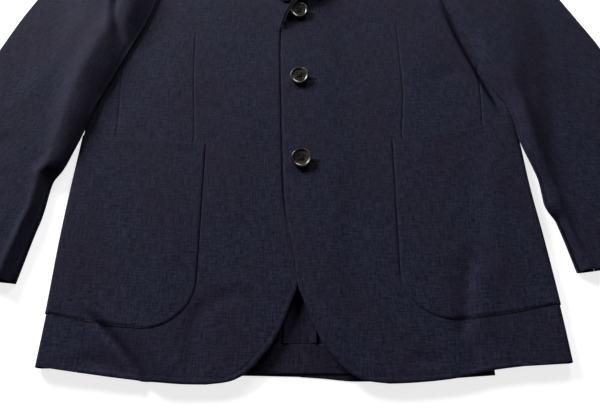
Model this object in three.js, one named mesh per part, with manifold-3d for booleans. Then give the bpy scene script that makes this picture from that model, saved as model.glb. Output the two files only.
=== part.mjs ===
// A three-button blazer of dark linen, laid out flat on its back. Millimetres, +Z up.
// X runs across the garment, Y from the hem to the collar, and the garment lies on z = 0.
// "left" and "right" are the wearer's: the wearer's left side lies at +X and laps over.
import * as THREE from 'three';
import { mergeVertices } from 'three/addons/utils/BufferGeometryUtils.js';
import Module from 'manifold-3d';

const wasm = await Module();
wasm.setup();

// Driving sizes
const CLOTH = 1.5;             // wall of every cloth piece
const SEAM = 0.3;              // gap between pieces that are sewn to each other
const BODY_HEIGHT = 9;         // thickness of the flat body and of a flat sleeve
const LAP_LIFT = 1.9;          // rise of the left front where it laps over the right one
const LAP_EDGE = 24;           // the lap is fully raised up to this far from the centre line
const LAP_FADE = 52;           // and has come down again here
const HEM_TURN = 25;           // depth of the turned-up hem
const ALLOWANCE = 14.5;        // width of each pressed-open seam allowance of the back
const BUTTON_WIDTH = 21;
const BUTTON_THICKNESS = 3.6;
const BUTTON_HOLE = 2;
const BUTTON_HOLE_SPACING = 4.6;
const BUTTON_FLAT = 8.1;        // radius of a button's flat back
const BUTTON_LEAN = 12;        // degrees that a button leans on its thread, facing the hem
const ARMPIT = 488;            // height of the armhole's lowest point
const SHOULDER = { x: 214, y: 690 };
const NECK_POINT = { x: 86, y: 735 };
const BACK_NECK = 716;         // lowest point of the back neckline
const LAP_END = { from: 462, to: 530 };  // the lap fades out up the garment between these heights
const SHOULDER_TURN = 16;      // the front comes down to the back over this width at the shoulder
const FRONT_ARMPIT = 500;      // height where a front meets its side panel at the armhole
const BACK_ARMPIT = 513;       // and where the back meets it
const PANEL_HEM = 13;          // hem of a side panel at the back seam
const HEM_TURN_FOOT = 8;       // height of the folded edge of the back's hem
const ALLOWANCE_TOP = 700;
const LINING_WALL = 1;         // wall of the turned-up hem and the allowances
const EDGE_SHIFT = { right: 2, left: -2 };  // the left front reaches further over than the right
const POCKET_CORNER = 42;      // height of a pocket's round lower corner
const POCKET_WRAP = 2.2;       // angle that a pocket runs round the side fold, in radians
const SLEEVE_DROP = 32;        // a sleeve that lies on the body comes down over this width
const SLEEVE_DROP_TOP = 20;    // and over this one beside the armhole
const SLEEVE_LIFT_END = { from: 562, to: 590 };  // above these heights a sleeve lies beside the body
const POCKET_LIFT = 2;         // extra rise of a sleeve over a pocket
const FOREARM_TURN = 14;       // the top sleeve runs this far round the inner edge

const LINEN = { color: 0x23263a, roughness: 0.9, metalness: 0 };
const LINEN_INSIDE = { color: 0x1f2130, roughness: 0.95, metalness: 0 };
const HORN = { color: 0x17161a, roughness: 0.35, metalness: 0 };

const LAYER = CLOTH / 2;                       // centre height of a layer on the surface
const FRONT_LAYER = BODY_HEIGHT - CLOTH / 2;   // centre height of the upper layer
const FOLD_RADIUS = (FRONT_LAYER - LAYER) / 2; // centre radius of a side fold
const MID_HEIGHT = BODY_HEIGHT / 2;

// Half width of the body at its side folds, pockets left off, up the garment
const SIDE_FOLD = [
  { y: 0, right: 223.0, left: 230.6 },
  { y: 60, right: 224.4, left: 231.6 },
  { y: 130, right: 227.4, left: 231.0 },
  { y: 190, right: 228.6, left: 229.4 },
  { y: 235, right: 228.8, left: 230.0 },
  { y: 300, right: 230.0, left: 230.5 },
  { y: 390, right: 240.0, left: 240.0 },
  { y: ARMPIT, right: 250.0, left: 250.0 },
];

// Seam between a front and its side panel, and the hem at each place
const FRONT_SEAM = [
  { y: 0, x: 186 },
  { y: 150, x: 190 },
  { y: 250, x: 193.5 },
  { y: 300, x: 198.5 },
  { y: 345, x: 203.5 },
  { y: 420, x: 217 },
  { y: 500, x: 233 },
];

// Seam between a side panel and the back, underneath; its lower part is the side vent
const BACK_SEAM = [
  { y: 0, x: 165 },
  { y: 160, x: 169 },
  { y: 300, x: 168 },
  { y: 430, x: 182 },
  { y: 515, x: 193 },
];

// Height of the hem line, measured along the cloth from the centre
const HEM = [
  { x: 0, right: 6.5, left: 5.5 },
  { x: 74, right: -1.8, left: -1.0 },
  { x: 100, right: -1.5, left: 0.0 },
  { x: 130, right: 1.0, left: 3.2 },
  { x: 158, right: 4.2, left: 9.2 },
  { x: 184, right: 7.6, left: 12.6 },
  { x: 240, right: 13.4, left: 17.2 },
];

// Hem of the back, which hangs a little lower on the left
const BACK_HEM = [
  { x: 0, right: 5.6, left: 5.4 },
  { x: 18, right: 6.0, left: 4.2 },
  { x: 45, right: 6.5, left: 1.8 },
  { x: 95, right: 6.5, left: 2.6 },
  { x: 166, right: 6.8, left: 7.0 },
];

// Front edge of a front: distance past the centre line is negative
const QUARTER_X = 76;          // where the rounded quarter runs into the hem
const FRONT_EDGE = [
  { y: -1.6, x: QUARTER_X },
  { y: -0.2, x: 62 },
  { y: 4.3, x: 48 },
  { y: 11.3, x: 38.5 },
  { y: 20, x: 31 },
  { y: 30, x: 23 },
  { y: 39, x: 17.8 },
  { y: 47.5, x: 13.8 },
  { y: 59, x: 9.2 },
  { y: 72, x: 4.4 },
  { y: 84.5, x: 0 },
  { y: 103, x: -1.9 },
  { y: 129, x: -6.5 },
  { y: 160, x: -11.6 },
  { y: 231, x: -15.8 },
  { y: 311, x: -18.6 },
  { y: 370, x: -20.2 },
  { y: 402, x: -20 },
  { y: 428, x: -10.5 },
  { y: 451, x: 4.5 },
  { y: 500, x: 21 },
  { y: 570, x: 38 },
  { y: 640, x: 54 },
  { y: 690, x: 68 },
  { y: NECK_POINT.y - 2, x: NECK_POINT.x },
];

// Outer border of a front above the side panel: armhole, then the shoulder point
const FRONT_ARMHOLE = [
  { y: 500, x: 233 },
  { y: 512, x: 208 },
  { y: 530, x: 190 },
  { y: 560, x: 179 },
  { y: 600, x: 178.5 },
  { y: 640, x: 188 },
  { y: 672, x: 203 },
  { y: SHOULDER.y, x: SHOULDER.x },
];
const BACK_ARMHOLE = [
  { y: 515, x: 193 },
  { y: 560, x: 187 },
  { y: 610, x: 188 },
  { y: 655, x: 198 },
  { y: SHOULDER.y, x: SHOULDER.x },
];

// Lapel: roll line and free edge, row by row from the break up to the gorge
const LAPEL = [
  { rollX: -8.6, rollY: 440, edgeX: -6.0, edgeY: 444 },
  { rollX: -2.3, rollY: 446.5, edgeX: 6.5, edgeY: 447.5 },
  { rollX: 4.9, rollY: 452, edgeX: 21, edgeY: 452 },
  { rollX: 12, rollY: 472, edgeX: 44, edgeY: 476 },
  { rollX: 21, rollY: 500, edgeX: 62, edgeY: 510 },
  { rollX: 38, rollY: 570, edgeX: 89, edgeY: 575 },
  { rollX: 54, rollY: 640, edgeX: 108, edgeY: 624 },
  { rollX: 63, rollY: 672, edgeX: 114, edgeY: 641 },
];

// Collar, half of it from the gorge to the centre back: where its stand is sewn, its roll,
// the bend of its fall and the fall's edge
const COLLAR = [
  { seam: [62, 681, 11.2], roll: [57, 684, 16.5], bend: [79, 677, 13.4], edge: [99, 667, 11.2] },
  { seam: [68, 702, 10.4], roll: [61, 703, 19], bend: [87, 702, 15], edge: [110, 697, 10.9] },
  { seam: [78.5, 723, 10.2], roll: [70, 725, 22], bend: [96, 729, 16], edge: [118, 716, 10.9] },
  { seam: [85, 739, 6], roll: [75, 743, 22], bend: [97, 749, 11], edge: [108, 742, 1.2] },
  { seam: [66, 728.3, 1.2], roll: [60, 749, 18], bend: [74, 756, 4], edge: [75, 744, 1.1] },
  { seam: [38, 720.8, 1.1], roll: [37, 746, 16], bend: [42, 755.5, 3], edge: [41, 738, 1.1] },
  { seam: [0, 717.2, 1.1], roll: [0, 744, 15.5], bend: [0, 755, 2.6], edge: [0, 736, 1.1] },
];

// Sleeve: outer and inner edge from the cuff up to the armhole
const SLEEVE_OUTER = [
  { y: 102, right: 393, left: 389 },
  { y: 240, right: 376, left: 374 },
  { y: 372, right: 350.6, left: 352 },
  { y: 424, right: 337.5, left: 335 },
  { y: 460, right: 326, left: 322.5 },
  { y: 535, right: 300, left: 299 },
  { y: 605, right: 268, left: 268 },
  { y: 655, right: 240, left: 240 },
  { y: SHOULDER.y + 1, right: SHOULDER.x + 2, left: SHOULDER.x + 2 },
];
const SLEEVE_INNER = [
  { y: 88, right: 261, left: 257.8 },
  { y: 143, right: 254, left: 247.6 },
  { y: 150, right: 252.4, left: 245.5 },
  { y: 157, right: 251.4, left: 240 },
  { y: 165, right: 250.7, left: 236.8 },
  { y: 190, right: 249.6, left: 237.6 },
  { y: 197, right: 247.5, left: 236.8 },
  { y: 204, right: 240.5, left: 235.2 },
  { y: 226, right: 232, left: 229.8 },
  { y: 243, right: 227.7, left: 227 },
  { y: 265, right: 223.5, left: 226.2 },
  { y: 290, right: 219.2, left: 221.6 },
  { y: 320, right: 210.8, left: 208.6 },
  { y: 365, right: 197.8, left: 197.8 },
  { y: 417, right: 182.5, left: 183.6 },
  { y: 451, right: 176.5, left: 176 },
  { y: 500, right: 171, left: 171 },
  { y: 535, right: 169.5, left: 169.5 },
  { y: 556, right: 173, left: 173 },
];
const CUFF = { right: { outerY: 103, innerY: 88 }, left: { outerY: 117, innerY: 98 } };
const SLEEVE_END_UNDER = [
  { x: SHOULDER.x + 2, y: SHOULDER.y + 1 },
  { x: 202, y: 655 },
  { x: 191.5, y: 612 },
  { x: 192.5, y: 577 },
  { x: 182, y: 561 },
  { x: 173, y: 556 },
];
const SLEEVE_END_UPPER = [
  { x: SHOULDER.x + 2, y: SHOULDER.y + 1 },
  { x: 206.5, y: 672 },
  { x: 191.5, y: 640 },
  { x: 181, y: 602 },
  { x: 181, y: 578 },
  { x: 173, y: 556 },
];

// Patch pocket on one front: its front edge, round corner, foot and mouth
const POCKET = {
  right: { edgeTop: 99, edgeFoot: 94.5, footX: 138, foot: 44.6, mouth: 239.2, footRise: 14, mouthRise: 11 },
  left: { edgeTop: 97, edgeFoot: 91.8, footX: 136, foot: 53, mouth: 244.9, footRise: 14, mouthRise: 26 },
};

// Largest folds of the cloth: from, to, depth (a ridge is positive) and half width
const FOLDS = {
  right: [
    { x0: 166, y0: 40, x1: 132, y1: 4, depth: -1.6, width: 9 },
    { x0: 100, y0: 62, x1: 96, y1: 8, depth: -1.2, width: 11 },
    { x0: 60, y0: 300, x1: 76, y1: 150, depth: 0.9, width: 24 },
    { x0: 150, y0: 395, x1: 132, y1: 300, depth: 1.1, width: 20 },
    { x0: 128, y0: 590, x1: 92, y1: 500, depth: 1.4, width: 18 },
  ],
  left: [
    { x0: 158, y0: 110, x1: 152, y1: 10, depth: -1.7, width: 10 },
    { x0: 42, y0: 230, x1: 12, y1: 120, depth: 1.0, width: 20 },
    { x0: 150, y0: 405, x1: 140, y1: 320, depth: 1.2, width: 22 },
    { x0: 124, y0: 600, x1: 96, y1: 520, depth: 1.3, width: 18 },
  ],
};
const SLEEVE_FOLDS = {
  right: [
    { x0: 214, y0: 470, x1: 203, y1: 385, depth: -2.2, width: 9 },
    { x0: 262, y0: 420, x1: 300, y1: 300, depth: 1.6, width: 16 },
    { x0: 300, y0: 250, x1: 352, y1: 205, depth: -1.2, width: 12 },
    { x0: 232, y0: 600, x1: 262, y1: 510, depth: 1.8, width: 15 },
  ],
  left: [
    { x0: 214, y0: 430, x1: 232, y1: 330, depth: -1.8, width: 10 },
    { x0: 270, y0: 440, x1: 288, y1: 320, depth: 1.7, width: 15 },
    { x0: 292, y0: 240, x1: 346, y1: 180, depth: -1.2, width: 12 },
    { x0: 230, y0: 606, x1: 258, y1: 520, depth: 1.6, width: 15 },
  ],
};

const lerp = THREE.MathUtils.lerp;
const smooth = (value, from, to) => THREE.MathUtils.smoothstep(value, from, to);

// Value of a table's column at a key, on a smooth curve through its rows
function along(table, column, value, key = 'y') {
  const last = table.length - 1;
  if (value <= table[0][key]) return table[0][column];
  if (value >= table[last][key]) return table[last][column];
  let i = 0;
  while (table[i + 1][key] < value) i += 1;
  const [a, b] = [table[i], table[i + 1]];
  const slope = (p, q) => (q[column] - p[column]) / (q[key] - p[key]);
  const here = slope(a, b);
  const span = b[key] - a[key];
  const ease = (s) => (s * here <= 0 ? 0 : Math.sign(here) * Math.min(Math.abs(s), 3 * Math.abs(here)));
  const mean = (s) => ease((s + here) / 2);
  const m0 = i > 0 ? mean(slope(table[i - 1], a)) : here;
  const m1 = i + 2 <= last ? mean(slope(b, table[i + 2])) : here;
  const t = (value - a[key]) / span;
  const t2 = t * t;
  const t3 = t2 * t;
  return (2 * t3 - 3 * t2 + 1) * a[column] + (t3 - 2 * t2 + t) * span * m0
    + (3 * t2 - 2 * t3) * b[column] + (t3 - t2) * span * m1;
}

// Height that soft folds add at a place: each is a bell across a line, fading at its ends
function folds(list, x, y) {
  return list.reduce((sum, f) => {
    const dx = f.x1 - f.x0;
    const dy = f.y1 - f.y0;
    const length = Math.hypot(dx, dy);
    const t = ((x - f.x0) * dx + (y - f.y0) * dy) / length ** 2;
    const off = ((x - f.x0) * dy - (y - f.y0) * dx) / length;
    const ends = smooth(t, -0.2, 0.25) * (1 - smooth(t, 0.75, 1.2));
    return sum + f.depth * ends * Math.exp(-((off / f.width) ** 2));
  }, 0);
}

// Direction of a row of points at one of them, true to a parabola through three neighbours
function tangent(point, i, count) {
  if (count === 2) return point(1).clone().sub(point(0));
  const m = THREE.MathUtils.clamp(i, 1, count - 2);
  const before = point(m).clone().sub(point(m - 1));
  const after = point(m + 1).clone().sub(point(m));
  const a = before.length();
  const b = after.length();
  before.divideScalar(a);
  after.divideScalar(b);
  const share = { [m - 1]: -a, [m]: 0, [m + 1]: b }[i];
  const middle = before.clone().multiplyScalar(b).addScaledVector(after, a).divideScalar(a + b);
  return middle.addScaledVector(after.sub(before), (2 * share) / (a + b));
}

// Closed cloth wall round a grid of centre points, moved out by half the thickness each way
function sheet(grid, thickness = CLOTH) {
  const rows = grid.length;
  const cols = grid[0].length;
  const positions = [];
  const normal = new THREE.Vector3();
  for (const side of [1, -1]) {
    for (let i = 0; i < rows; i += 1) {
      for (let j = 0; j < cols; j += 1) {
        const down = tangent((k) => grid[k][j], i, rows);
        const across = tangent((k) => grid[i][k], j, cols);
        normal.crossVectors(across, down).normalize().multiplyScalar((side * thickness) / 2);
        const p = grid[i][j].clone().add(normal);
        positions.push(p.x, p.y, p.z);
      }
    }
  }
  const index = [];
  const at = (side, i, j) => side * rows * cols + i * cols + j;
  const quad = (a, b, c, d) => index.push(a, b, c, a, c, d);
  for (let i = 0; i + 1 < rows; i += 1) {
    for (let j = 0; j + 1 < cols; j += 1) {
      quad(at(0, i, j), at(0, i, j + 1), at(0, i + 1, j + 1), at(0, i + 1, j));
      quad(at(1, i, j), at(1, i + 1, j), at(1, i + 1, j + 1), at(1, i, j + 1));
    }
    quad(at(0, i, 0), at(0, i + 1, 0), at(1, i + 1, 0), at(1, i, 0));
    quad(at(0, i + 1, cols - 1), at(0, i, cols - 1), at(1, i, cols - 1), at(1, i + 1, cols - 1));
  }
  for (let j = 0; j + 1 < cols; j += 1) {
    quad(at(0, 0, j + 1), at(0, 0, j), at(1, 0, j), at(1, 0, j + 1));
    quad(at(0, rows - 1, j), at(0, rows - 1, j + 1), at(1, rows - 1, j + 1), at(1, rows - 1, j));
  }
  const geometry = new THREE.BufferGeometry();
  geometry.setAttribute('position', new THREE.Float32BufferAttribute(positions, 3));
  geometry.setIndex(index);
  if (signedVolume(geometry) < 0) {
    geometry.setIndex(index.reverse());
  }
  return geometry;
}

function signedVolume(geometry) {
  const p = geometry.getAttribute('position');
  const index = geometry.getIndex();
  const [a, b, c] = [new THREE.Vector3(), new THREE.Vector3(), new THREE.Vector3()];
  let sum = 0;
  for (let i = 0; i < index.count; i += 3) {
    a.fromBufferAttribute(p, index.getX(i));
    b.fromBufferAttribute(p, index.getX(i + 1));
    c.fromBufferAttribute(p, index.getX(i + 2));
    sum += a.dot(b.cross(c)) / 6;
  }
  return sum;
}

const group = new THREE.Group();
const SIDES = [{ name: 'right', sign: -1 }, { name: 'left', sign: 1 }];

function addMesh(name, geometry, look) {
  const mesh = new THREE.Mesh(geometry, new THREE.MeshStandardMaterial(look));
  mesh.name = name;
  group.add(mesh);
}

const steps = (count) => Array.from({ length: count + 1 }, (_, i) => i / count);

// Rise of the left front over the right one, near the centre and below the lapels
function lapRise(side, x, y) {
  if (side !== 'left') return 0;
  return LAP_LIFT * (1 - smooth(x, LAP_EDGE, LAP_FADE)) * (1 - smooth(y, LAP_END.from, LAP_END.to));
}

// Height of the shoulder seam, a straight line from the neck point to the shoulder point
const shoulderLine = (x) => lerp(
  NECK_POINT.y, SHOULDER.y, (x - NECK_POINT.x) / (SHOULDER.x - NECK_POINT.x));

// Folds of a front and what lies on it; they fade out at the seams and under the lap
function frontFolds(side, x, y) {
  const seam = along(FRONT_SEAM, 'x', y);
  const calm = y < FRONT_ARMPIT ? 1 - smooth(x, seam - 14, seam) : 1 - smooth(y, 640, SHOULDER.y);
  return calm * smooth(x, LAP_EDGE - 2, LAP_EDGE + 16) * folds(FOLDS[side], x, y);
}

// Centre height of a front's cloth; it comes down to the back along the shoulder seam
function frontHeight(side, x, y) {
  const inset = Math.max(shoulderLine(x) - y, 0);
  const turn = (1 - Math.min(inset / SHOULDER_TURN, 1)) ** 1.5;
  const drop = (FRONT_LAYER - LAYER - CLOTH - SEAM) * turn;
  return FRONT_LAYER + lapRise(side, x, y) + frontFolds(side, x, y) - drop;
}

// Fronts: heights of each row at the front edge and at the outer border, hem to shoulder
const FRONT_ROWS = [
  { edgeY: -1.6, sideY: 0 }, { edgeY: -0.2, sideY: 5 }, { edgeY: 4.3, sideY: 11 },
  { edgeY: 11.3, sideY: 18 }, { edgeY: 20, sideY: 26 }, { edgeY: 30, sideY: 35 },
  { edgeY: 39, sideY: 44 }, { edgeY: 47.5, sideY: 54 }, { edgeY: 59, sideY: 66 },
  { edgeY: 72, sideY: 80 }, { edgeY: 84.5, sideY: 94 }, { edgeY: 103, sideY: 112 },
  { edgeY: 129, sideY: 136 }, { edgeY: 160, sideY: 164 }, { edgeY: 195, sideY: 198 },
  { edgeY: 231, sideY: 232 }, { edgeY: 271, sideY: 268 }, { edgeY: 311, sideY: 306 },
  { edgeY: 345, sideY: 345 }, { edgeY: 374, sideY: 380 }, { edgeY: 402, sideY: 415 },
  { edgeY: 415, sideY: 445 }, { edgeY: 428, sideY: 472 }, { edgeY: 440, sideY: 494 },
  { edgeY: 451, sideY: 508 }, { edgeY: 475, sideY: 526 }, { edgeY: 500, sideY: 548 },
  { edgeY: 535, sideY: 575 }, { edgeY: 570, sideY: 600 }, { edgeY: 605, sideY: 622 },
  { edgeY: 640, sideY: 645 }, { edgeY: 670, sideY: 663 }, { edgeY: 697, sideY: 676 },
  { edgeY: 717, sideY: 683.5 }, { edgeY: 728, sideY: 688 }, { edgeY: 733, sideY: 690 },
];
function frontGrid(side, sign) {
  const hem = along(HEM, side, FRONT_SEAM[0].x, 'x');
  return FRONT_ROWS.map(({ edgeY, sideY }, i) => {
    const y1 = sideY < FRONT_ARMPIT ? lerp(hem, FRONT_ARMPIT, sideY / FRONT_ARMPIT) : sideY;
    const border = y1 < FRONT_ARMPIT ? FRONT_SEAM : FRONT_ARMHOLE;
    const shift = EDGE_SHIFT[side] * (1 - smooth(edgeY, 420, 460));
    const x0 = along(FRONT_EDGE, 'x', edgeY) + shift;
    const x1 = along(border, 'x', y1) - SEAM;
    return steps(10).map((t) => {
      const x = lerp(x0, x1, t);
      const y = i === 0 ? along(HEM, side, Math.max(x, QUARTER_X), 'x') : lerp(edgeY, y1, t);
      return new THREE.Vector3(sign * x, y, frontHeight(side, x, y));
    });
  });
}

// Rows of a side panel, which the back shares along their seam
const PANEL_ROWS = [0, 0.06, 0.13, 0.22, 0.32, 0.42, 0.52, 0.62, 0.72, 0.82, 0.91, 1];

// Backs: flat on the surface, from the hem to the shoulder and the neckline
const BACK_ROWS = [
  ...PANEL_ROWS.map((t) => ({ middle: lerp(PANEL_HEM, 470, t), outer: lerp(PANEL_HEM, BACK_ARMPIT, t) })),
  { middle: 530, outer: 560 }, { middle: 590, outer: 610 }, { middle: 650, outer: 655 },
  { middle: 690, outer: 676 },
];

function backGrid(side, sign) {
  const hem = steps(6).map((t) => {
    const x = lerp(SEAM / 2, along(BACK_SEAM, 'x', 0) - SEAM, t);
    return new THREE.Vector3(sign * x, along(BACK_HEM, side, x, 'x'), LAYER);
  });
  const rows = BACK_ROWS.map(({ middle, outer }) => {
    const x1 = along(outer <= BACK_ARMPIT ? BACK_SEAM : BACK_ARMHOLE, 'x', outer);
    return steps(6).map((t) => new THREE.Vector3(
      sign * lerp(SEAM / 2, x1 - SEAM, t), lerp(middle, outer, t), LAYER));
  });
  const top = steps(6).map((t) => {
    const x = t <= 0.5 ? lerp(SEAM / 2, NECK_POINT.x, 2 * t)
      : lerp(NECK_POINT.x, SHOULDER.x - SEAM, 2 * t - 1);
    const neck = BACK_NECK + (NECK_POINT.y - BACK_NECK) * (x / NECK_POINT.x) ** 2.4;
    return new THREE.Vector3(sign * x, x < NECK_POINT.x ? neck : shoulderLine(x), LAYER);
  });
  return [hem, ...rows, top];
}

// Side panel: from the front seam, round the side fold, to the back seam underneath
function sidePanelGrid(side, sign) {
  return PANEL_ROWS.map((t) => {
    const foldY = lerp(along(HEM, side, SIDE_FOLD[0].left, 'x'), ARMPIT, t);
    const frontY = lerp(along(HEM, side, FRONT_SEAM[0].x, 'x'), FRONT_ARMPIT - SEAM, t);
    const backY = lerp(PANEL_HEM, BACK_ARMPIT, t);
    const frontX = along(FRONT_SEAM, 'x', frontY);
    const backX = along(BACK_SEAM, 'x', backY) + SEAM / 2;
    const centre = along(SIDE_FOLD, side, foldY) - MID_HEIGHT;
    const point = (x, y, z) => new THREE.Vector3(sign * x, y, z);
    const upper = steps(3).map((s) => point(lerp(frontX, centre, s), lerp(frontY, foldY, s), FRONT_LAYER));
    const bend = steps(7).slice(1, -1).map((s) => {
      const angle = Math.PI * (0.5 - s);
      return point(centre + FOLD_RADIUS * Math.cos(angle), foldY, MID_HEIGHT + FOLD_RADIUS * Math.sin(angle));
    });
    const lower = steps(3).map((s) => point(lerp(centre, backX, s), lerp(foldY, backY, s), LAYER));
    return [...upper, ...bend, ...lower];
  });
}

// Patch pocket: the outer points of the front and side panel, moved out
function pocketGrid(side, sign) {
  const size = POCKET[side];
  const radius = FOLD_RADIUS + CLOTH + 2 * SEAM;
  const corner = steps(6).map((t) => {
    const angle = (Math.PI / 2) * t;
    return {
      x: size.footX - (size.footX - size.edgeFoot) * Math.sin(angle),
      y: size.foot + POCKET_CORNER * (1 - Math.cos(angle)),
    };
  });
  const upright = steps(7).slice(1).map((t) => ({
    x: lerp(size.edgeFoot, size.edgeTop, t),
    y: lerp(size.foot + POCKET_CORNER, size.mouth, t),
  }));
  return [...corner, ...upright].map(({ x: x0, y: y0 }) => {
    const t = (y0 - size.foot) / (size.mouth - size.foot);
    const rise = lerp(size.footRise, size.mouthRise, t);
    const centre = along(SIDE_FOLD, side, y0 + rise) - MID_HEIGHT;
    const flat = steps(9).map((s) => {
      const x = lerp(x0, centre, s);
      const y = y0 + rise * s ** 1.5;
      return new THREE.Vector3(sign * x, y, MID_HEIGHT + radius + frontFolds(side, x, y));
    });
    const bend = steps(5).slice(1).map((s) => {
      const angle = Math.PI / 2 - s * POCKET_WRAP;
      return new THREE.Vector3(
        sign * (centre + radius * Math.cos(angle)), y0 + rise, MID_HEIGHT + radius * Math.sin(angle));
    });
    return [...flat, ...bend];
  });
}

// Turned-up hem and pressed-open centre seam of the back, lying on its inside
const LINING_LAYER = CLOTH + SEAM + LINING_WALL / 2;

function hemTurnGrid(sign) {
  const outer = BACK_SEAM[0].x - 5;
  return [HEM_TURN_FOOT, HEM_TURN_FOOT + HEM_TURN].map((y) => steps(6).map((t) =>
    new THREE.Vector3(sign * lerp(SEAM, outer, t), y, LINING_LAYER)));
}

function allowanceGrid(sign) {
  const foot = HEM_TURN_FOOT + HEM_TURN + SEAM;
  return steps(8).map((t) => [SEAM, ALLOWANCE].map((x) =>
    new THREE.Vector3(sign * x, lerp(foot, ALLOWANCE_TOP, t), LINING_LAYER)));
}

// Lapel: rolls over the front's edge and lies on the front
function lapelGrid(side, sign) {
  const table = side === 'right' ? LAPEL.slice(2) : LAPEL;
  const curve = (xKey, yKey) => new THREE.CatmullRomCurve3(
    table.map((row) => new THREE.Vector3(row[xKey], row[yKey], 0)), false, 'centripetal');
  const roll = curve('rollX', 'rollY');
  const edge = curve('edgeX', 'edgeY');
  const count = (table.length - 1) * 2;
  return steps(count).map((t) => {
    const from = roll.getPoint(t);
    const to = edge.getPoint(t);
    const across = to.clone().sub(from);
    const width = across.length();
    across.normalize();
    const turn = Math.min(1, width / 12);
    const section = [
      { d: -0.9, rise: 1.2 * turn },
      { d: -1.3, rise: 2.6 * turn },
      { d: 0.6, rise: 3.5 * turn },
    ].concat([0.12, 0.3, 0.5, 0.7, 0.86, 1].map((share) => ({
      d: Math.max(share * width, 0.6 + share * 2),
      rise: 2.1 * Math.exp(-((share * width) / 16)) * turn,
    })));
    return section.map(({ d, rise }) => {
      const p = from.clone().addScaledVector(across, d);
      const ground = frontHeight(side, Math.max(p.x, from.x), p.y) + CLOTH + SEAM;
      return new THREE.Vector3(sign * p.x, p.y, ground + rise);
    });
  });
}

// Collar: a band on the neckline, mirrored about the centre back
function collarGrid() {
  const stations = [...COLLAR, ...COLLAR.slice(0, -1).reverse().map((row) => Object.fromEntries(
    Object.entries(row).map(([key, [x, y, z]]) => [key, [-x, y, z]])))];
  const rail = (key) => new THREE.CatmullRomCurve3(
    stations.map((row) => new THREE.Vector3(...row[key])), false, 'centripetal');
  const rails = ['seam', 'roll', 'bend', 'edge'].map(rail);
  return steps(26).map((t) => {
    const ends = rails.map((curve) => curve.getPoint(t));
    const section = new THREE.CatmullRomCurve3(ends, false, 'centripetal');
    return steps(10).map((s) => section.getPoint(s));
  });
}

// Edge of the ground that the body covers under a sleeve
function coverEdge(side, y) {
  if (y <= ARMPIT) return along(SIDE_FOLD, side, y);
  const margin = 10;
  return Math.min(along(SIDE_FOLD, side, ARMPIT), along(FRONT_ARMHOLE, 'x', y - margin) + margin);
}

// Height by which a sleeve is lifted where it lies on the body
function sleeveLift(side, x, y) {
  const edge = coverEdge(side, y);
  const fall = lerp(SLEEVE_DROP, SLEEVE_DROP_TOP, smooth(y, ARMPIT - 18, ARMPIT + 32));
  const pocket = POCKET_LIFT * (1 - smooth(y, 275, 310));
  const height = BODY_HEIGHT + 3 * SEAM + pocket;
  const beside = smooth(y, SLEEVE_LIFT_END.from, SLEEVE_LIFT_END.to);
  return height * (1 - smooth(x, edge, edge + fall)) * (1 - beside);
}

// Point of a sleeve in plan: u runs from the cuff to the armhole, w from the outer edge to the
// inner one. Rows are straight at the cuff and bend into the armhole's curve near the top.
function sleevePlan(side, end, u, w) {
  const edgePoint = (table, cuffY, t) => {
    const y = lerp(cuffY, table.at(-1).y, t);
    return new THREE.Vector3(along(table, side, y), y, 0);
  };
  const row = (t) => edgePoint(SLEEVE_OUTER, CUFF[side].outerY, t)
    .lerp(edgePoint(SLEEVE_INNER, CUFF[side].innerY, t), w);
  const pull = smooth(u, 0.45, 1) * u;
  return row(u).addScaledVector(end.getPoint(w).sub(row(1)), pull);
}

const endCurve = (table) => new THREE.CatmullRomCurve3(
  table.map(({ x, y }) => new THREE.Vector3(x, y, 0)), false, 'centripetal');
const END_UPPER = endCurve(SLEEVE_END_UPPER);
const END_UNDER = endCurve(SLEEVE_END_UNDER);
const SLEEVE_ROWS = [
  ...steps(10).map((t) => lerp(0, 0.68, t)),
  ...steps(12).slice(1).map((t) => lerp(0.68, 1, t)),
];

// One row across a sleeve. The top sleeve is the upper layer and the bend at the inner edge,
// the under sleeve the lower layer; they meet at half height on the outer edge.
function sleeveRow(side, sign, u, part) {
  const width = sleevePlan(side, END_UPPER, u, 0).distanceTo(sleevePlan(side, END_UPPER, u, 1));
  const radius = FOLD_RADIUS;
  const innerRadius = radius * lerp(1, 0.4, smooth(u, 0.88, 1));
  const point = (upper, inset, height) => {
    const plan = sleevePlan(side, upper ? END_UPPER : END_UNDER, u, inset / width);
    const crown = upper ? Math.sin((Math.PI * inset) / width) : 0;
    const wave = upper ? crown * folds(SLEEVE_FOLDS[side], plan.x, plan.y) : 0;
    const lift = sleeveLift(side, plan.x, plan.y);
    return new THREE.Vector3(sign * plan.x, plan.y, LAYER + lift + height + wave);
  };
  const bend = (from, to, count, outer) => steps(count).map((t) => {
    const angle = lerp(from, to, t);
    const r = outer ? radius : innerRadius;
    const inset = r * (1 - Math.cos(angle));
    return point(Math.sin(angle) >= 0, outer ? inset : width - inset, r * (1 + Math.sin(angle)));
  });
  const flat = (upper, from, to, count) => steps(count).slice(1, -1).map((t) =>
    point(upper, lerp(from, to, t), upper ? 2 * lerp(radius, innerRadius, smooth(t, 0.4, 1)) : 0));
  const gap = (1.3 * SEAM) / radius;
  const topEdge = width - innerRadius - FOREARM_TURN;
  const underEdge = topEdge - 4.5 * SEAM;
  if (part === 'top') {
    return [
      ...bend(0, Math.PI / 2, 3, true),
      ...flat(true, radius, width - innerRadius, 9),
      ...bend(Math.PI / 2, -Math.PI / 2, 6, false),
      point(false, topEdge, 0),
    ];
  }
  return [
    point(false, underEdge, 0),
    ...flat(false, underEdge, radius, 9),
    ...bend(-Math.PI / 2, -gap, 3, true),
  ];
}

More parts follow.
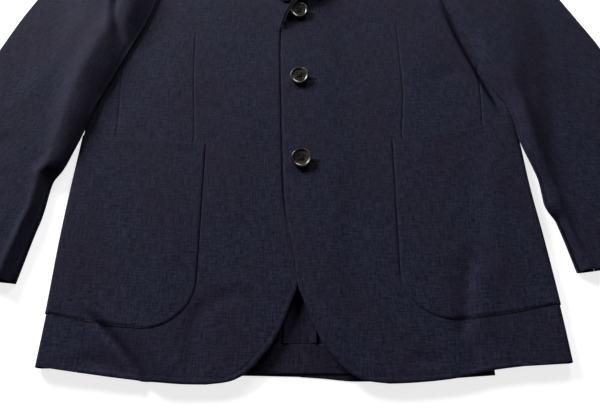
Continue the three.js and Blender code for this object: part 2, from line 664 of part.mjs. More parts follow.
function button(x, y, z) {
  const r = BUTTON_WIDTH / 2;
  const t = BUTTON_THICKNESS;
  const profile = [
    [0, 0], [BUTTON_FLAT, 0], [r - 0.5, 0.9], [r, 1.9], [r - 0.4, t - 0.5], [r - 1.2, t],
    [r - 2.1, t - 0.1], [r - 3.2, t - 0.9], [0, t - 0.9],
  ].map(([px, py]) => new THREE.Vector2(px, py));
  const body = new THREE.LatheGeometry(profile, 24).rotateX(Math.PI / 2);
  const half = BUTTON_HOLE_SPACING / 2;
  let solid = toSolid(body);
  for (const sx of [-1, 1]) {
    for (const sy of [-1, 1]) {
      const hole = new THREE.CylinderGeometry(BUTTON_HOLE / 2, BUTTON_HOLE / 2, 4 * t, 8)
        .rotateX(Math.PI / 2).translate(sx * half, sy * half, 0);
      solid = solid.subtract(toSolid(hole));
    }
  }
  const lean = THREE.MathUtils.degToRad(BUTTON_LEAN);
  return toGeometry(solid).rotateX(lean).translate(x, y, z + BUTTON_FLAT * Math.sin(lean));
}

function toSolid(geometry) {
  const plain = geometry.clone();
  plain.deleteAttribute('normal');
  plain.deleteAttribute('uv');
  const merged = mergeVertices(plain, 1e-4);
  if (signedVolume(merged) < 0) {
    merged.setIndex([...merged.getIndex().array].reverse());
  }
  return new wasm.Manifold(new wasm.Mesh({
    numProp: 3,
    vertProperties: new Float32Array(merged.getAttribute('position').array),
    triVerts: new Uint32Array(merged.getIndex().array),
  }));
}

function toGeometry(solid) {
  const mesh = solid.getMesh();
  const geometry = new THREE.BufferGeometry();
  geometry.setAttribute('position', new THREE.BufferAttribute(mesh.vertProperties, 3));
  geometry.setIndex(new THREE.BufferAttribute(mesh.triVerts, 1));
  return geometry;
}

for (const { name, sign } of SIDES) {
  addMesh(`back_${name}`, sheet(backGrid(name, sign)), LINEN_INSIDE);
  addMesh(`back_hem_turn_${name}`, sheet(hemTurnGrid(sign), LINING_WALL), LINEN_INSIDE);
  addMesh(`back_seam_allowance_${name}`, sheet(allowanceGrid(sign), LINING_WALL), LINEN_INSIDE);
  addMesh(`side_panel_${name}`, sheet(sidePanelGrid(name, sign)), LINEN);
  addMesh(`front_${name}`, sheet(frontGrid(name, sign)), LINEN);
  addMesh(`lapel_${name}`, sheet(lapelGrid(name, sign)), LINEN);
  addMesh(`patch_pocket_${name}`, sheet(pocketGrid(name, sign)), LINEN);
  for (const part of ['top', 'under']) {
    const grid = SLEEVE_ROWS.map((u) => sleeveRow(name, sign, u, part));
    addMesh(`${part}_sleeve_${name}`, sheet(grid), LINEN);
  }
}
addMesh('collar', sheet(collarGrid()), LINEN);

// Buttons down the centre line, sewn to the right front and passed through the left one
const BUTTONS = [
  { name: 'button_top', x: -0.7, y: 430.3 },
  { name: 'button_middle', x: -0.6, y: 327.1 },
  { name: 'button_bottom', x: 1.5, y: 217.7 },
];
for (const { name, x, y } of BUTTONS) {
  addMesh(name, button(x, y, BODY_HEIGHT + LAP_LIFT + SEAM), HORN);
}

// The origin lies at the middle of the garment's box, on the surface
const centre = new THREE.Box3().setFromObject(group).getCenter(new THREE.Vector3());
for (const mesh of group.children) {
  mesh.position.set(-centre.x, -centre.y, 0);
}

export default group;
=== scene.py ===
# A three-button blazer of dark navy linen, buttoned and laid out flat on its back.
# Shapes are worked out in millimetres of the garment: X runs from the centre front towards the
# wearer's left, Y up from the hem, Z up from the surface. A mesh then takes its place in metres.
import math

import bpy
import mathutils
import numpy as np
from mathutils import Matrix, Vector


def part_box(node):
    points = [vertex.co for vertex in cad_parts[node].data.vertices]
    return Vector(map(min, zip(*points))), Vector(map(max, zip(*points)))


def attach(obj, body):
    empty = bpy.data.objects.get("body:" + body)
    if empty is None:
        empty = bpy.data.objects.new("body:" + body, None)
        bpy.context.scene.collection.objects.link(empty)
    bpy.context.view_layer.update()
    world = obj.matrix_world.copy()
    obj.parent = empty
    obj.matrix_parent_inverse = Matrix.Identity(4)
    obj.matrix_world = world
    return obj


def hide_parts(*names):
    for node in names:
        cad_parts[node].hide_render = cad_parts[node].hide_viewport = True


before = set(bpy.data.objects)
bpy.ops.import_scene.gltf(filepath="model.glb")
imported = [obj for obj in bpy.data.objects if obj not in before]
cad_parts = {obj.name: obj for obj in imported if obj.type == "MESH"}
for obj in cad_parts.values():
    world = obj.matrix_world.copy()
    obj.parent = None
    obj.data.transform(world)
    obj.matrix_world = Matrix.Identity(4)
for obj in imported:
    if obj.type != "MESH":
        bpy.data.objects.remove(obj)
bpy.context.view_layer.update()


# The back: two halves of the linen, joined by the centre seam. They lie flat on the surface with
# the wrong side up, and show between the open quarters and inside the neck.
MM = 0.001
CLOTH = 1.5  # wall of the CAD's cloth, which sets how high the layers lie
WALL = 0.8  # wall of the linen itself
GROUND = WALL / 2
TOUCH = 0.15  # gap between two layers that lie on each other
SEAM = 0.3
GRID = 3.0  # usual spacing of a cloth mesh
HEM_TURN_FOOT = 8.0
PANEL_HEM = 13.0
BACK_ARMPIT = 513.0
BACK_NECK = 716.0
NECK_POINT = (86.0, 735.0)
SHOULDER = (214.0, 690.0)
BACK_SEAM = {"y": [0, 160, 300, 430, 515], "x": [165, 169, 168, 182, 193]}
BACK_ARMHOLE = {"y": [515, 560, 610, 655, 690], "x": [193, 187, 188, 198, 214]}
BACK_HEM = {
    "x": [0, 18, 45, 95, 166],
    "right": [5.6, 6.0, 6.5, 6.5, 6.8],
    "left": [5.4, 4.2, 1.8, 2.6, 7.0],
}
NECK_CURVE = 2.4  # power of the curve from the middle of the neck out to its point
BACK_CUT_AT = (17, 5)  # where the piece lies on the cloth that it is cut from
SIDES = {"right": -1, "left": 1}
hem_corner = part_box("back_hem_turn_left")[0]
ORIGIN = np.array([hem_corner.x - SEAM * MM, hem_corner.y - HEM_TURN_FOOT * MM, 0.0])


def smooth(value, start, end):
    """Smooth step from 0 at start to 1 at end: 3t^2 - 2t^3."""
    t = np.clip((value - start) / (end - start), 0, 1)
    return t * t * (3 - 2 * t)


def mix(a, b, t):
    """Straight line from a at 0 to b at 1."""
    return a + (b - a) * t


def along(table, column, value, key="y"):
    """Value of a table's column at a key, on a monotone cubic curve through its rows.

    Each stretch is a Hermite cubic. Its end slopes are the mean of the two stretches that meet
    there, kept to the stretch's own sign and to at most three times its slope."""
    x, y = np.array(table[key], float), np.array(table[column], float)
    rise = np.diff(y) / np.diff(x)
    mean = (rise[:-1] + rise[1:]) / 2

    def ease(slope, own):
        kept = np.sign(own) * np.minimum(abs(slope), 3 * abs(own))
        return np.where(slope * own <= 0, 0, kept)

    start = np.concatenate([rise[:1], ease(mean, rise[1:])])
    end = np.concatenate([ease(mean, rise[:-1]), rise[-1:]])
    value = np.clip(value, x[0], x[-1])
    i = np.clip(np.searchsorted(x, value, side="right") - 1, 0, len(rise) - 1)
    span = x[i + 1] - x[i]
    t = (value - x[i]) / span
    return (
        (2 * t**3 - 3 * t**2 + 1) * y[i]
        + (t**3 - 2 * t**2 + t) * span * start[i]
        + (3 * t**2 - 2 * t**3) * y[i + 1]
        + (t**3 - t**2) * span * end[i]
    )


def columns(*lines):
    """Columns of a grid between lines that run up a piece.

    Each line is (its place in every row, the number of columns up to the next line), and the
    columns between two lines are evenly spaced."""
    made = [
        mix(here[:, None], after[:, None], np.arange(count) / count)
        for (here, count), (after, _) in zip(lines, lines[1:])
    ]
    return np.concatenate([*made, lines[-1][0][:, None]], axis=1)


def bordered(points, axis):
    """Adds lines of points close to both ends of an axis, where a wall rounds over.

    They lie at set distances in from the border, on the straight line to the next point. Also
    gives the share of the wall's thickness on each line, sqrt(1 - (1 - d / r)^2)."""
    radius = WALL / 2
    inset = radius * np.array([0.08, 0.3, 0.6, 1.0])
    share = np.sqrt(1 - (1 - inset / radius) ** 2)
    points = np.moveaxis(points, axis, 0)

    def lines(border, neighbour):
        step = neighbour - border
        gap = np.linalg.norm(step[..., :3], axis=-1, keepdims=True)
        return [border + step * np.minimum(d / gap, 0.9 * d / radius) for d in inset]

    first = lines(points[0], points[1])
    last = lines(points[-1], points[-2])[::-1]
    points = np.stack([points[0], *first, *points[1:-1], *last, points[-1]])
    shares = np.concatenate([[0], share, np.ones(len(points) - 10), share[::-1], [0]])
    return np.moveaxis(points, 0, axis), shares


def wall_mesh(name, middle, cloth_at):
    """Closed wall round a grid of middle points (rows, columns, 3).

    Each point moves out and in along the surface's normal by half the wall, less near the
    borders, where both sides meet in a round edge. cloth_at (rows, columns, 2) is the place of
    each point on the flat cloth, and becomes the UV map."""
    grid = np.concatenate([middle, cloth_at], axis=2)
    grid, rows_share = bordered(grid, 0)
    grid, columns_share = bordered(grid, 1)
    points, flat = grid[..., :3], grid[..., 3:]
    normal = np.cross(np.gradient(points, axis=1), np.gradient(points, axis=0))
    normal /= np.linalg.norm(normal, axis=2, keepdims=True)
    half = WALL / 2 * (rows_share[:, None] * columns_share)[..., None]
    count = points.shape[0] * points.shape[1]
    top = np.arange(count).reshape(points.shape[:2])
    bottom = top + count
    for border in (np.s_[0], np.s_[-1], np.s_[:, 0], np.s_[:, -1]):
        bottom[border] = top[border]

    def quads(index):
        corners = [index[:-1, :-1], index[:-1, 1:], index[1:, 1:], index[1:, :-1]]
        return np.stack(corners, axis=-1).reshape(-1, 4)

    faces = np.concatenate([quads(top), quads(bottom)[:, ::-1]])
    vertices = np.concatenate([points + normal * half, points - normal * half]).reshape(-1, 3)
    used, faces = np.unique(faces, return_inverse=True)
    faces = faces.reshape(-1, 4)
    vertices = vertices[used]
    flat = np.tile(flat.reshape(-1, 2), (2, 1))[used]
    a, b, c = (vertices[faces[:, k]] for k in range(3))
    if (a * np.cross(b, c)).sum() < 0:
        faces = faces[:, ::-1]
    return mesh_of(name, vertices * MM + ORIGIN, faces, flat * MM)


def mesh_of(name, vertices, faces, flat=None):
    """Smooth mesh of quads in its place, with the flat cloth's metres as its UV map."""
    mesh = bpy.data.meshes.new(name)
    mesh.vertices.add(len(vertices))
    mesh.vertices.foreach_set("co", vertices.ravel())
    mesh.loops.add(faces.size)
    mesh.loops.foreach_set("vertex_index", faces.ravel())
    mesh.polygons.add(len(faces))
    mesh.polygons.foreach_set("loop_start", np.arange(0, faces.size, faces.shape[1]))
    mesh.polygons.foreach_set("use_smooth", np.ones(len(faces), bool))
    if flat is not None:
        layer = mesh.uv_layers.new(name="cloth")
        layer.data.foreach_set("uv", flat[faces.ravel()].ravel())
    mesh.update(calc_edges=True)
    mesh.validate()
    return mesh


THREAD = 0.72  # from one thread of the weave to the next but one


def linen(name, dark, light, purple):
    """Plain-weave linen. Long noise along each thread direction makes the slubs, a sine of each
    makes the weave, and soft noise makes the patches where the dye took more or less."""
    material = bpy.data.materials.new(name)
    material.use_nodes = True
    nodes, links = material.node_tree.nodes, material.node_tree.links
    shader = nodes["Principled BSDF"]
    shader.inputs["Roughness"].default_value = 0.86
    shader.inputs["Specular IOR Level"].default_value = 0.03
    place = nodes.new("ShaderNodeUVMap")
    place.uv_map = "cloth"

    def noise(scale, detail=2.0, rough=0.55):
        stretch = nodes.new("ShaderNodeMapping")
        stretch.inputs["Scale"].default_value = scale
        links.new(place.outputs["UV"], stretch.inputs["Vector"])
        made = nodes.new("ShaderNodeTexNoise")
        made.inputs["Scale"].default_value = 1.0
        made.inputs["Detail"].default_value = detail
        made.inputs["Roughness"].default_value = rough
        links.new(stretch.outputs["Vector"], made.inputs["Vector"])
        return made.outputs["Fac"]

    def math_node(kind, a, b=None, c=None):
        made = nodes.new("ShaderNodeMath")
        made.operation = kind
        for socket, value in zip(made.inputs, (a, b, c)):
            if isinstance(value, (int, float)):
                socket.default_value = value
            elif value is not None:
                links.new(value, socket)
        return made.outputs["Value"]

    def ranged(value, low, high, to_low, to_high):
        made = nodes.new("ShaderNodeMapRange")
        made.inputs["From Min"].default_value = low
        made.inputs["From Max"].default_value = high
        made.inputs["To Min"].default_value = to_low
        made.inputs["To Max"].default_value = to_high
        links.new(value, made.inputs["Value"])
        return made.outputs["Result"]

    def blended(factor, a, b):
        made = nodes.new("ShaderNodeMix")
        made.data_type = "RGBA"
        links.new(factor, made.inputs["Factor"])
        for socket, value in ((made.inputs["A"], a), (made.inputs["B"], b)):
            if isinstance(value, tuple):
                socket.default_value = (*value, 1)
            else:
                links.new(value, socket)
        return made.outputs["Result"]

    slubs = math_node("ADD", noise((90, 760, 1)), noise((700, 70, 1)))
    threads = math_node("ADD", noise((260, 1300, 1)), noise((1200, 240, 1)))
    slubs = math_node("MULTIPLY_ADD", threads, 0.22, math_node("MULTIPLY", slubs, 0.28))
    patches = noise((17, 12, 1), detail=4, rough=0.62)
    tone = ranged(slubs, 0.41, 0.59, 0.0, 1.0)
    colour = blended(tone, dark, light)
    shaded, lit = (tuple(share * part for part in purple) for share in (0.5, 1.35))
    mauve = blended(tone, shaded, lit)
    tinted = blended(ranged(patches, 0.38, 0.62, 0.0, 1.0), colour, mauve)
    links.new(tinted, shader.inputs["Base Color"])

    split = nodes.new("ShaderNodeSeparateXYZ")
    links.new(place.outputs["UV"], split.inputs["Vector"])
    turns = 2 * math.pi / (THREAD * MM)
    across = math_node("SINE", math_node("MULTIPLY", split.outputs["X"], turns))
    up = math_node("SINE", math_node("MULTIPLY", split.outputs["Y"], turns))
    weave = math_node("MULTIPLY", across, up)
    height = math_node("MULTIPLY_ADD", weave, 0.22, math_node("MULTIPLY", slubs, 2.6))
    bump = nodes.new("ShaderNodeBump")
    bump.inputs["Strength"].default_value = 0.75
    bump.inputs["Distance"].default_value = 0.35 * MM
    links.new(height, bump.inputs["Height"])
    links.new(bump.outputs["Normal"], shader.inputs["Normal"])
    return material


NAVY = linen("navy_linen", dark=(0.0040, 0.0050, 0.0112), light=(0.0176, 0.0192, 0.0350),
             purple=(0.0124, 0.0110, 0.0214))
NAVY_INSIDE = linen("navy_linen_inside", dark=(0.0054, 0.0055, 0.0112),
                    light=(0.0170, 0.0165, 0.0290), purple=(0.0120, 0.0104, 0.0195))


def cloth_piece(name, node, middle, cloth_at, material=NAVY):
    """A cut piece of cloth that stands for its CAD node and moves with the garment.

    Its place on the flat cloth, cloth_at, becomes the UV map of its mesh."""
    piece = bpy.data.objects.new(name, wall_mesh(name, middle, cloth_at))
    bpy.context.scene.collection.objects.link(piece)
    piece.data.materials.append(material)
    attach(piece, "root")
    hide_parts(node)


def steps(length, spacing=GRID):
    """Even positions from 0 to 1 along a length."""
    return np.linspace(0, 1, max(2, round(length / spacing)) + 1)


def shoulder_line(x):
    """Height of the straight shoulder seam."""
    return mix(NECK_POINT[1], SHOULDER[1], (x - NECK_POINT[0]) / (SHOULDER[0] - NECK_POINT[0]))


for side, sign in SIDES.items():
    t = steps(700, 6)[:, None]
    outer_y = mix(PANEL_HEM, SHOULDER[1], t)
    outer_x = np.where(outer_y < BACK_ARMPIT, along(BACK_SEAM, "x", outer_y),
                       along(BACK_ARMHOLE, "x", outer_y)) - SEAM
    x = columns((np.zeros(len(t)), 12), (outer_x[:, 0] * 0.4, 18), (outer_x[:, 0], 0))
    share = x / outer_x
    hem = along(BACK_HEM, side, x, "x")
    neck = BACK_NECK + (NECK_POINT[1] - BACK_NECK) * (x / NECK_POINT[0]) ** NECK_CURVE
    top = np.where(x < NECK_POINT[0], neck, shoulder_line(x))
    y = mix(hem, top, t) + share * (outer_y - mix(PANEL_HEM, SHOULDER[1], t))
    middle = np.stack([sign * x, y, np.full_like(x, GROUND)], axis=2)
    cloth_piece(f"back_{side}_cloth", f"back_{side}", middle,
                middle[..., :2] + np.multiply(BACK_CUT_AT, (sign, 1)), NAVY_INSIDE)


# The back's hem, turned up on the inside, and the allowances of its centre seam, pressed open.
# They are edges of the back itself and lie on its wrong side, a little open at their corners.
HEM_TURN = 25.0
ALLOWANCE = 14.5
ALLOWANCE_TOP = 700.0
HEM_TURN_WAVE = {"height": 0.35, "length": 11}
ALLOWANCE_OPEN = {"foot": 1.5, "up_to": 16, "above": 0.3}  # how far its free edge stands up
HEM_TURN_CUT_AT = (9, 31)
ALLOWANCE_CUT_AT = (3, 12)
TURNED_LAYER = GROUND + WALL + TOUCH

for side, sign in SIDES.items():
    across, up = steps(160, 4)[None], steps(HEM_TURN, 2.5)[:, None]
    x, y = np.broadcast_arrays(mix(0, BACK_SEAM["x"][0] - 5, across),
                               mix(HEM_TURN_FOOT, HEM_TURN_FOOT + HEM_TURN, up))
    lift = HEM_TURN_WAVE["height"] * up * (1 + np.sin(x / HEM_TURN_WAVE["length"] + sign))
    middle = np.stack([sign * x, y, TURNED_LAYER + lift], axis=2)
    cloth_piece(f"back_hem_turn_{side}_cloth", f"back_hem_turn_{side}", middle,
                middle[..., :2] + HEM_TURN_CUT_AT, NAVY_INSIDE)

    foot = HEM_TURN_FOOT + HEM_TURN + SEAM
    across, up = steps(ALLOWANCE, 2.4)[None], steps(ALLOWANCE_TOP - foot, 6)[:, None]
    x, y = np.broadcast_arrays(mix(0, ALLOWANCE, across), mix(foot, ALLOWANCE_TOP, up))
    at_foot = np.exp(-(((y - foot) / ALLOWANCE_OPEN["up_to"]) ** 2))
    lift = ALLOWANCE_OPEN["foot"] * across**2 * at_foot + ALLOWANCE_OPEN["above"] * across**2
    middle = np.stack([sign * x, y, TURNED_LAYER + lift], axis=2)
    cloth_piece(f"back_seam_allowance_{side}_cloth", f"back_seam_allowance_{side}", middle,
                middle[..., :2] + ALLOWANCE_CUT_AT, NAVY_INSIDE)


# The side panels: from the front's seam, round the side fold, to the back's seam underneath. Each
# is one cloth that lies as the upper layer first and on the surface after the fold.
BODY_HEIGHT = 9.0
FRONT_LAYER = BODY_HEIGHT - CLOTH / 2
MID_HEIGHT = (FRONT_LAYER + GROUND) / 2
FOLD_RADIUS = (FRONT_LAYER - GROUND) / 2
ARMPIT = 488.0
FRONT_ARMPIT = 500.0
SHOULDER_TURN = 16.0
SEAM_FADE = (90, 125)  # the seam to the front shows from here upwards
PANEL_CUT_AT = (40, 21)
LAP = {"rise": 1.9, "edge": 24, "fade": 52, "from": 462, "to": 530}
# Creases fade out this far from the side fold, from this height to the shoulder, and from one
# place to the other beside the lap's edge
CALM = {"fold": 12, "shoulder": 640, "lap": (-2, 16)}
SIDE_FOLD = {
    "y": [0, 60, 130, 190, 235, 300, 390, ARMPIT],
    "right": [223.0, 224.4, 227.4, 228.6, 228.8, 230.0, 240.0, 250.0],
    "left": [230.6, 231.6, 231.0, 229.4, 230.0, 230.5, 240.0, 250.0],
}
FRONT_SEAM = {
    "y": [0, 150, 250, 300, 345, 420, 500],
    "x": [186, 190, 193.5, 198.5, 203.5, 217, 233],
}
HEM = {
    "x": [0, 74, 100, 130, 158, 184, 240],
    "right": [6.5, -1.8, -1.5, 1.0, 4.2, 7.6, 13.4],
    "left": [5.5, -1.0, 0.0, 3.2, 9.2, 12.6, 17.2],
}
# Folds and creases of the upper layer: from x0, y0 to x1, y1, their depth (a ridge is positive),
# half width, how much wider the side to the right of the line is, and the bow of the line
CREASES = {
    "right": [
        (182, 54, 120, -12, -4.6, 3.2, 1.3, 3),
        (160, 58, 106, 0, 1.6, 9, 0.8, 4),
        (188, 17, 140, 7, -1.3, 6, 1.3, 2),
        (92, 60, 88, 6, -1.7, 9, 1.2, -3),
        (92, 57, 54, 76, -1.0, 7, 1.0, 4),
        (60, 300, 76, 150, 0.9, 24, 1.0, 0),
        (150, 395, 132, 300, 1.1, 20, 1.0, 5),
        (128, 590, 92, 500, 1.4, 18, 1.0, 0),
        (157, 232, 118, 88, 0.9, 13, 1.2, 6),
        (186, 200, 172, 70, -0.7, 15, 1.0, -5),
        (40, 430, 64, 340, -0.6, 18, 1.0, 4),
        (212, 332, 200, 262, -1.2, 9, 1.2, 3),
    ],
    "left": [
        (158, 110, 147, 52, -2.4, 7.5, 1.4, 2),
        (147, 56, 138, 38, -2.2, 7, 1.2, 0),
        (139, 42, 149, 10, -1.6, 8, 0.8, 0),
        (172, 104, 160, 40, 1.1, 10, 1.0, 2),
        (42, 236, 14, 100, 1.0, 18, 1.0, 3),
        (98, 21, 116, 16, -1.1, 5, 1.0, 0),
        (150, 405, 140, 320, 1.2, 22, 1.0, 5),
        (124, 600, 96, 520, 1.3, 18, 1.0, 0),
        (206, 236, 182, 86, 0.9, 12, 1.0, 5),
        (160, 205, 166, 112, -0.8, 14, 1.0, -4),
        (186, 340, 150, 322, -1.0, 9, 1.2, 3),
        (64, 420, 84, 330, -0.5, 20, 1.0, -4),
        (224, 274, 180, 440, -6.4, 6.5, 1.0, -2.0),
    ],
}


def creases(rows, x, y):
    """Height that soft folds add at a place.

    Each is depth * exp(-(off / width)^2) beside a bowed line, where off is the distance from the
    line, and fades in and out over a quarter of its length at both ends."""
    height = np.zeros(np.broadcast(x, y).shape)
    for x0, y0, x1, y1, depth, width, lean, bow in rows:
        dx, dy = x1 - x0, y1 - y0
        length = math.hypot(dx, dy)
        t = ((x - x0) * dx + (y - y0) * dy) / length**2
        off = ((x - x0) * dy - (y - y0) * dx) / length - bow * 4 * t * (1 - t)
        ends = smooth(t, -0.2, 0.25) * (1 - smooth(t, 0.75, 1.2))
        reach = np.where(off > 0, width * lean, width / lean)
        height += depth * ends * np.exp(-((off / reach) ** 2))
    return height


def upper_layer(side, x, y):
    """Height of the middle of the cloth on the fronts and the upper side panels.

    It is flat but for the creases, rises where the left front laps over the right one, comes
    down to the back at the shoulder seam, and lies calm at the side fold and under the lap."""
    fold = along(SIDE_FOLD, side, y) - MID_HEIGHT
    calm = 1 - smooth(x, fold - CALM["fold"], fold)
    calm = calm * (1 - smooth(y, CALM["shoulder"], SHOULDER[1]))
    calm = calm * smooth(x, LAP["edge"] + CALM["lap"][0], LAP["edge"] + CALM["lap"][1])
    turn = (1 - np.clip((shoulder_line(x) - y) / SHOULDER_TURN, 0, 1)) ** 1.5
    drop = (FRONT_LAYER - GROUND - WALL - TOUCH) * turn
    lap = 0.0
    if side == "left":
        lap = LAP["rise"] * (1 - smooth(x, LAP["edge"], LAP["fade"]))
        lap = lap * (1 - smooth(y, LAP["from"], LAP["to"]))
    return FRONT_LAYER + lap + calm * creases(CREASES[side], x, y) - drop


def seam_dip(distance):
    """Cloth rounds down into a pressed seam: -1.0 * exp(-(distance / 1.1)^2), with a low swell
    beside it where the allowances lie underneath."""
    return -1.0 * np.exp(-((distance / 1.1) ** 2)) + 0.08 * np.exp(-(((distance - 5) / 4) ** 2))


for side, sign in SIDES.items():
    t = steps(ARMPIT)[:, None]
    fold_y = mix(along(HEM, side, SIDE_FOLD["left"][0], "x"), ARMPIT, t)
    front_y = mix(along(HEM, side, FRONT_SEAM["x"][0], "x"), FRONT_ARMPIT - SEAM, t)
    back_y = mix(PANEL_HEM, BACK_ARMPIT, t)
    front_x = along(FRONT_SEAM, "x", front_y)
    back_x = along(BACK_SEAM, "x", back_y) + SEAM / 2
    centre = along(SIDE_FOLD, side, fold_y) - MID_HEIGHT
    s = np.concatenate([np.linspace(0, 0.16, 7), np.linspace(0.16, 1, 14)[1:]])[None]
    x, y = mix(front_x, centre, s), mix(front_y, fold_y, s)
    upper = [x, y, upper_layer(side, x, y) + seam_dip(x - front_x) * smooth(y, *SEAM_FADE), x]
    angle = math.pi * (0.5 - np.linspace(0, 1, 16)[None, 1:-1])
    bend = [centre + FOLD_RADIUS * np.cos(angle), fold_y + 0 * angle,
            MID_HEIGHT + FOLD_RADIUS * np.sin(angle) + 0 * centre,
            centre + FOLD_RADIUS * (math.pi / 2 - angle)]
    s = steps(60, 5)[None]
    x, y = mix(centre, back_x, s), mix(fold_y, back_y, s)
    lower = [x, y, np.full_like(x, GROUND), centre + math.pi * FOLD_RADIUS + centre - x]
    x, y, z, unrolled = (np.concatenate(parts, axis=1) for parts in zip(upper, bend, lower))
    cloth_piece(f"side_panel_{side}_cloth", f"side_panel_{side}",
                np.stack([sign * x, y, z], axis=2),
                np.stack([sign * unrolled, y], axis=2) + PANEL_CUT_AT)


# The fronts: from the rounded quarter at the hem up the front edge to the neck, with a dart each
# from the pocket to the chest. The left one laps over the right one and is buttoned.
QUARTER_X = 76.0
EDGE_SHIFT = {"right": 2.0, "left": -2.0}
# Where the left front begins to roll into its lapel, its edge comes out and rises by these
LAPEL_FOOT = {
    "y": [394, 410, 422, 436, 450, 480, 520],
    "out": [0, 0, 0.6, 2.6, 6.0, 3.5, 0],
    "rise": [0, 3.2, 6.0, 7.6, 7.6, 3.5, 0],
}
FRONT_EDGE = {
    "y": [-1.6, -0.2, 4.3, 11.3, 20, 30, 39, 47.5, 59, 72, 84.5, 103, 129, 160, 231, 311, 370,
          402, 428, 451, 500, 570, 640, 690, NECK_POINT[1] - 2],
    "x": [QUARTER_X, 62, 48, 38.5, 31, 23, 17.8, 13.8, 9.2, 4.4, 0, -1.9, -6.5, -11.6, -15.8,
          -18.6, -20.2, -20, -10.5, 4.5, 21, 38, 54, 68, NECK_POINT[0]],
}
FRONT_ARMHOLE = {
    "y": [500, 512, 530, 560, 600, 640, 672, SHOULDER[1]],
    "x": [233, 208, 190, 179, 178.5, 188, 203, SHOULDER[0]],
}
# Height of each row at the front edge and at the outer border
FRONT_ROWS = {
    "edge": [-1.6, 4.3, 20, 47.5, 84.5, 160, 231, 311, 402, 440, 451, 500, 570, 640, 697, 733],
    "outer": [0, 11, 26, 54, 94, 164, 232, 306, 415, 494, 508, 548, 600, 645, 676, 690],
}
DART = {
    "right": {"y": [250, 333, 412], "x": [111.4, 119.4, 124.6]},
    "left": {"y": [256, 311, 355, 420], "x": [107.8, 114.0, 114.7, 116.3]},
}
DART_END = {"right": 414, "left": 424}
# The pockets' cuts: their front edges press into the fronts
POCKET = {
    "right": {"top": 99, "foot_x": 138, "edge": 94.5, "foot": 44.6, "mouth": 239.2,
              "rise": (14, 11)},
    "left": {"top": 97, "foot_x": 136, "edge": 91.8, "foot": 53, "mouth": 244.9,
             "rise": (14, 26)},
}
POCKET_CORNER = 42.0
# Depth and half width of the lines pressed into a front: under the pocket's front edge, beside
# the lap's edge, and at the dart with the swell beside it
POCKET_LINE = (1.1, 1.6)
LAP_LINE = (1.5, 1.7)
DART_LINE = (1.0, 1.0)
DART_SWELL = (0.1, 5)
POCKET_LINE_FADE = {"foot": (24, 50), "mouth": 3}
LAP_LINE_FADE = {"from": (135, 175), "to": (440, 452)}
DART_FADE = {"from": (200, 235), "over": 26}
EDGE_SHIFT_TO = (420, 460)
STITCHED_TO = (440, 470)
LAPEL_FOOT_WIDTH = 2.6
HEM_ROWS_TO = 90  # up to here the rows follow the hem's curve
FRONT_CUT_AT = (7, 0)


def even_along(x, y, spacing):
    """Places in a list of points that are evenly spaced along the curve that it draws."""
    length = np.concatenate([[0], np.cumsum(np.hypot(np.diff(x), np.diff(y)))])
    wanted = np.linspace(0, length[-1], round(length[-1] / spacing) + 1)
    return np.interp(wanted, length, np.arange(len(length)))


def turned_edge(distance, length, stitched=0.4):
    """Form of a turned and pick-stitched edge: it rounds down at its end, and the stitches draw
    it down 5 mm in, more at each stitch of 6.5 mm than between them."""
    end = -0.6 * np.exp(-((distance / 1.1) ** 2))
    pull = 0.6 + 0.4 * np.cos(2 * math.pi * length / 6.5)
    return end - stitched * pull * np.exp(-(((distance - 5) / 1.3) ** 2))


def pressed_line(distance, depth, width):
    """Soft line pressed into the cloth: depth * exp(-(distance / width)^2)."""
    return depth * np.exp(-((distance / width) ** 2))


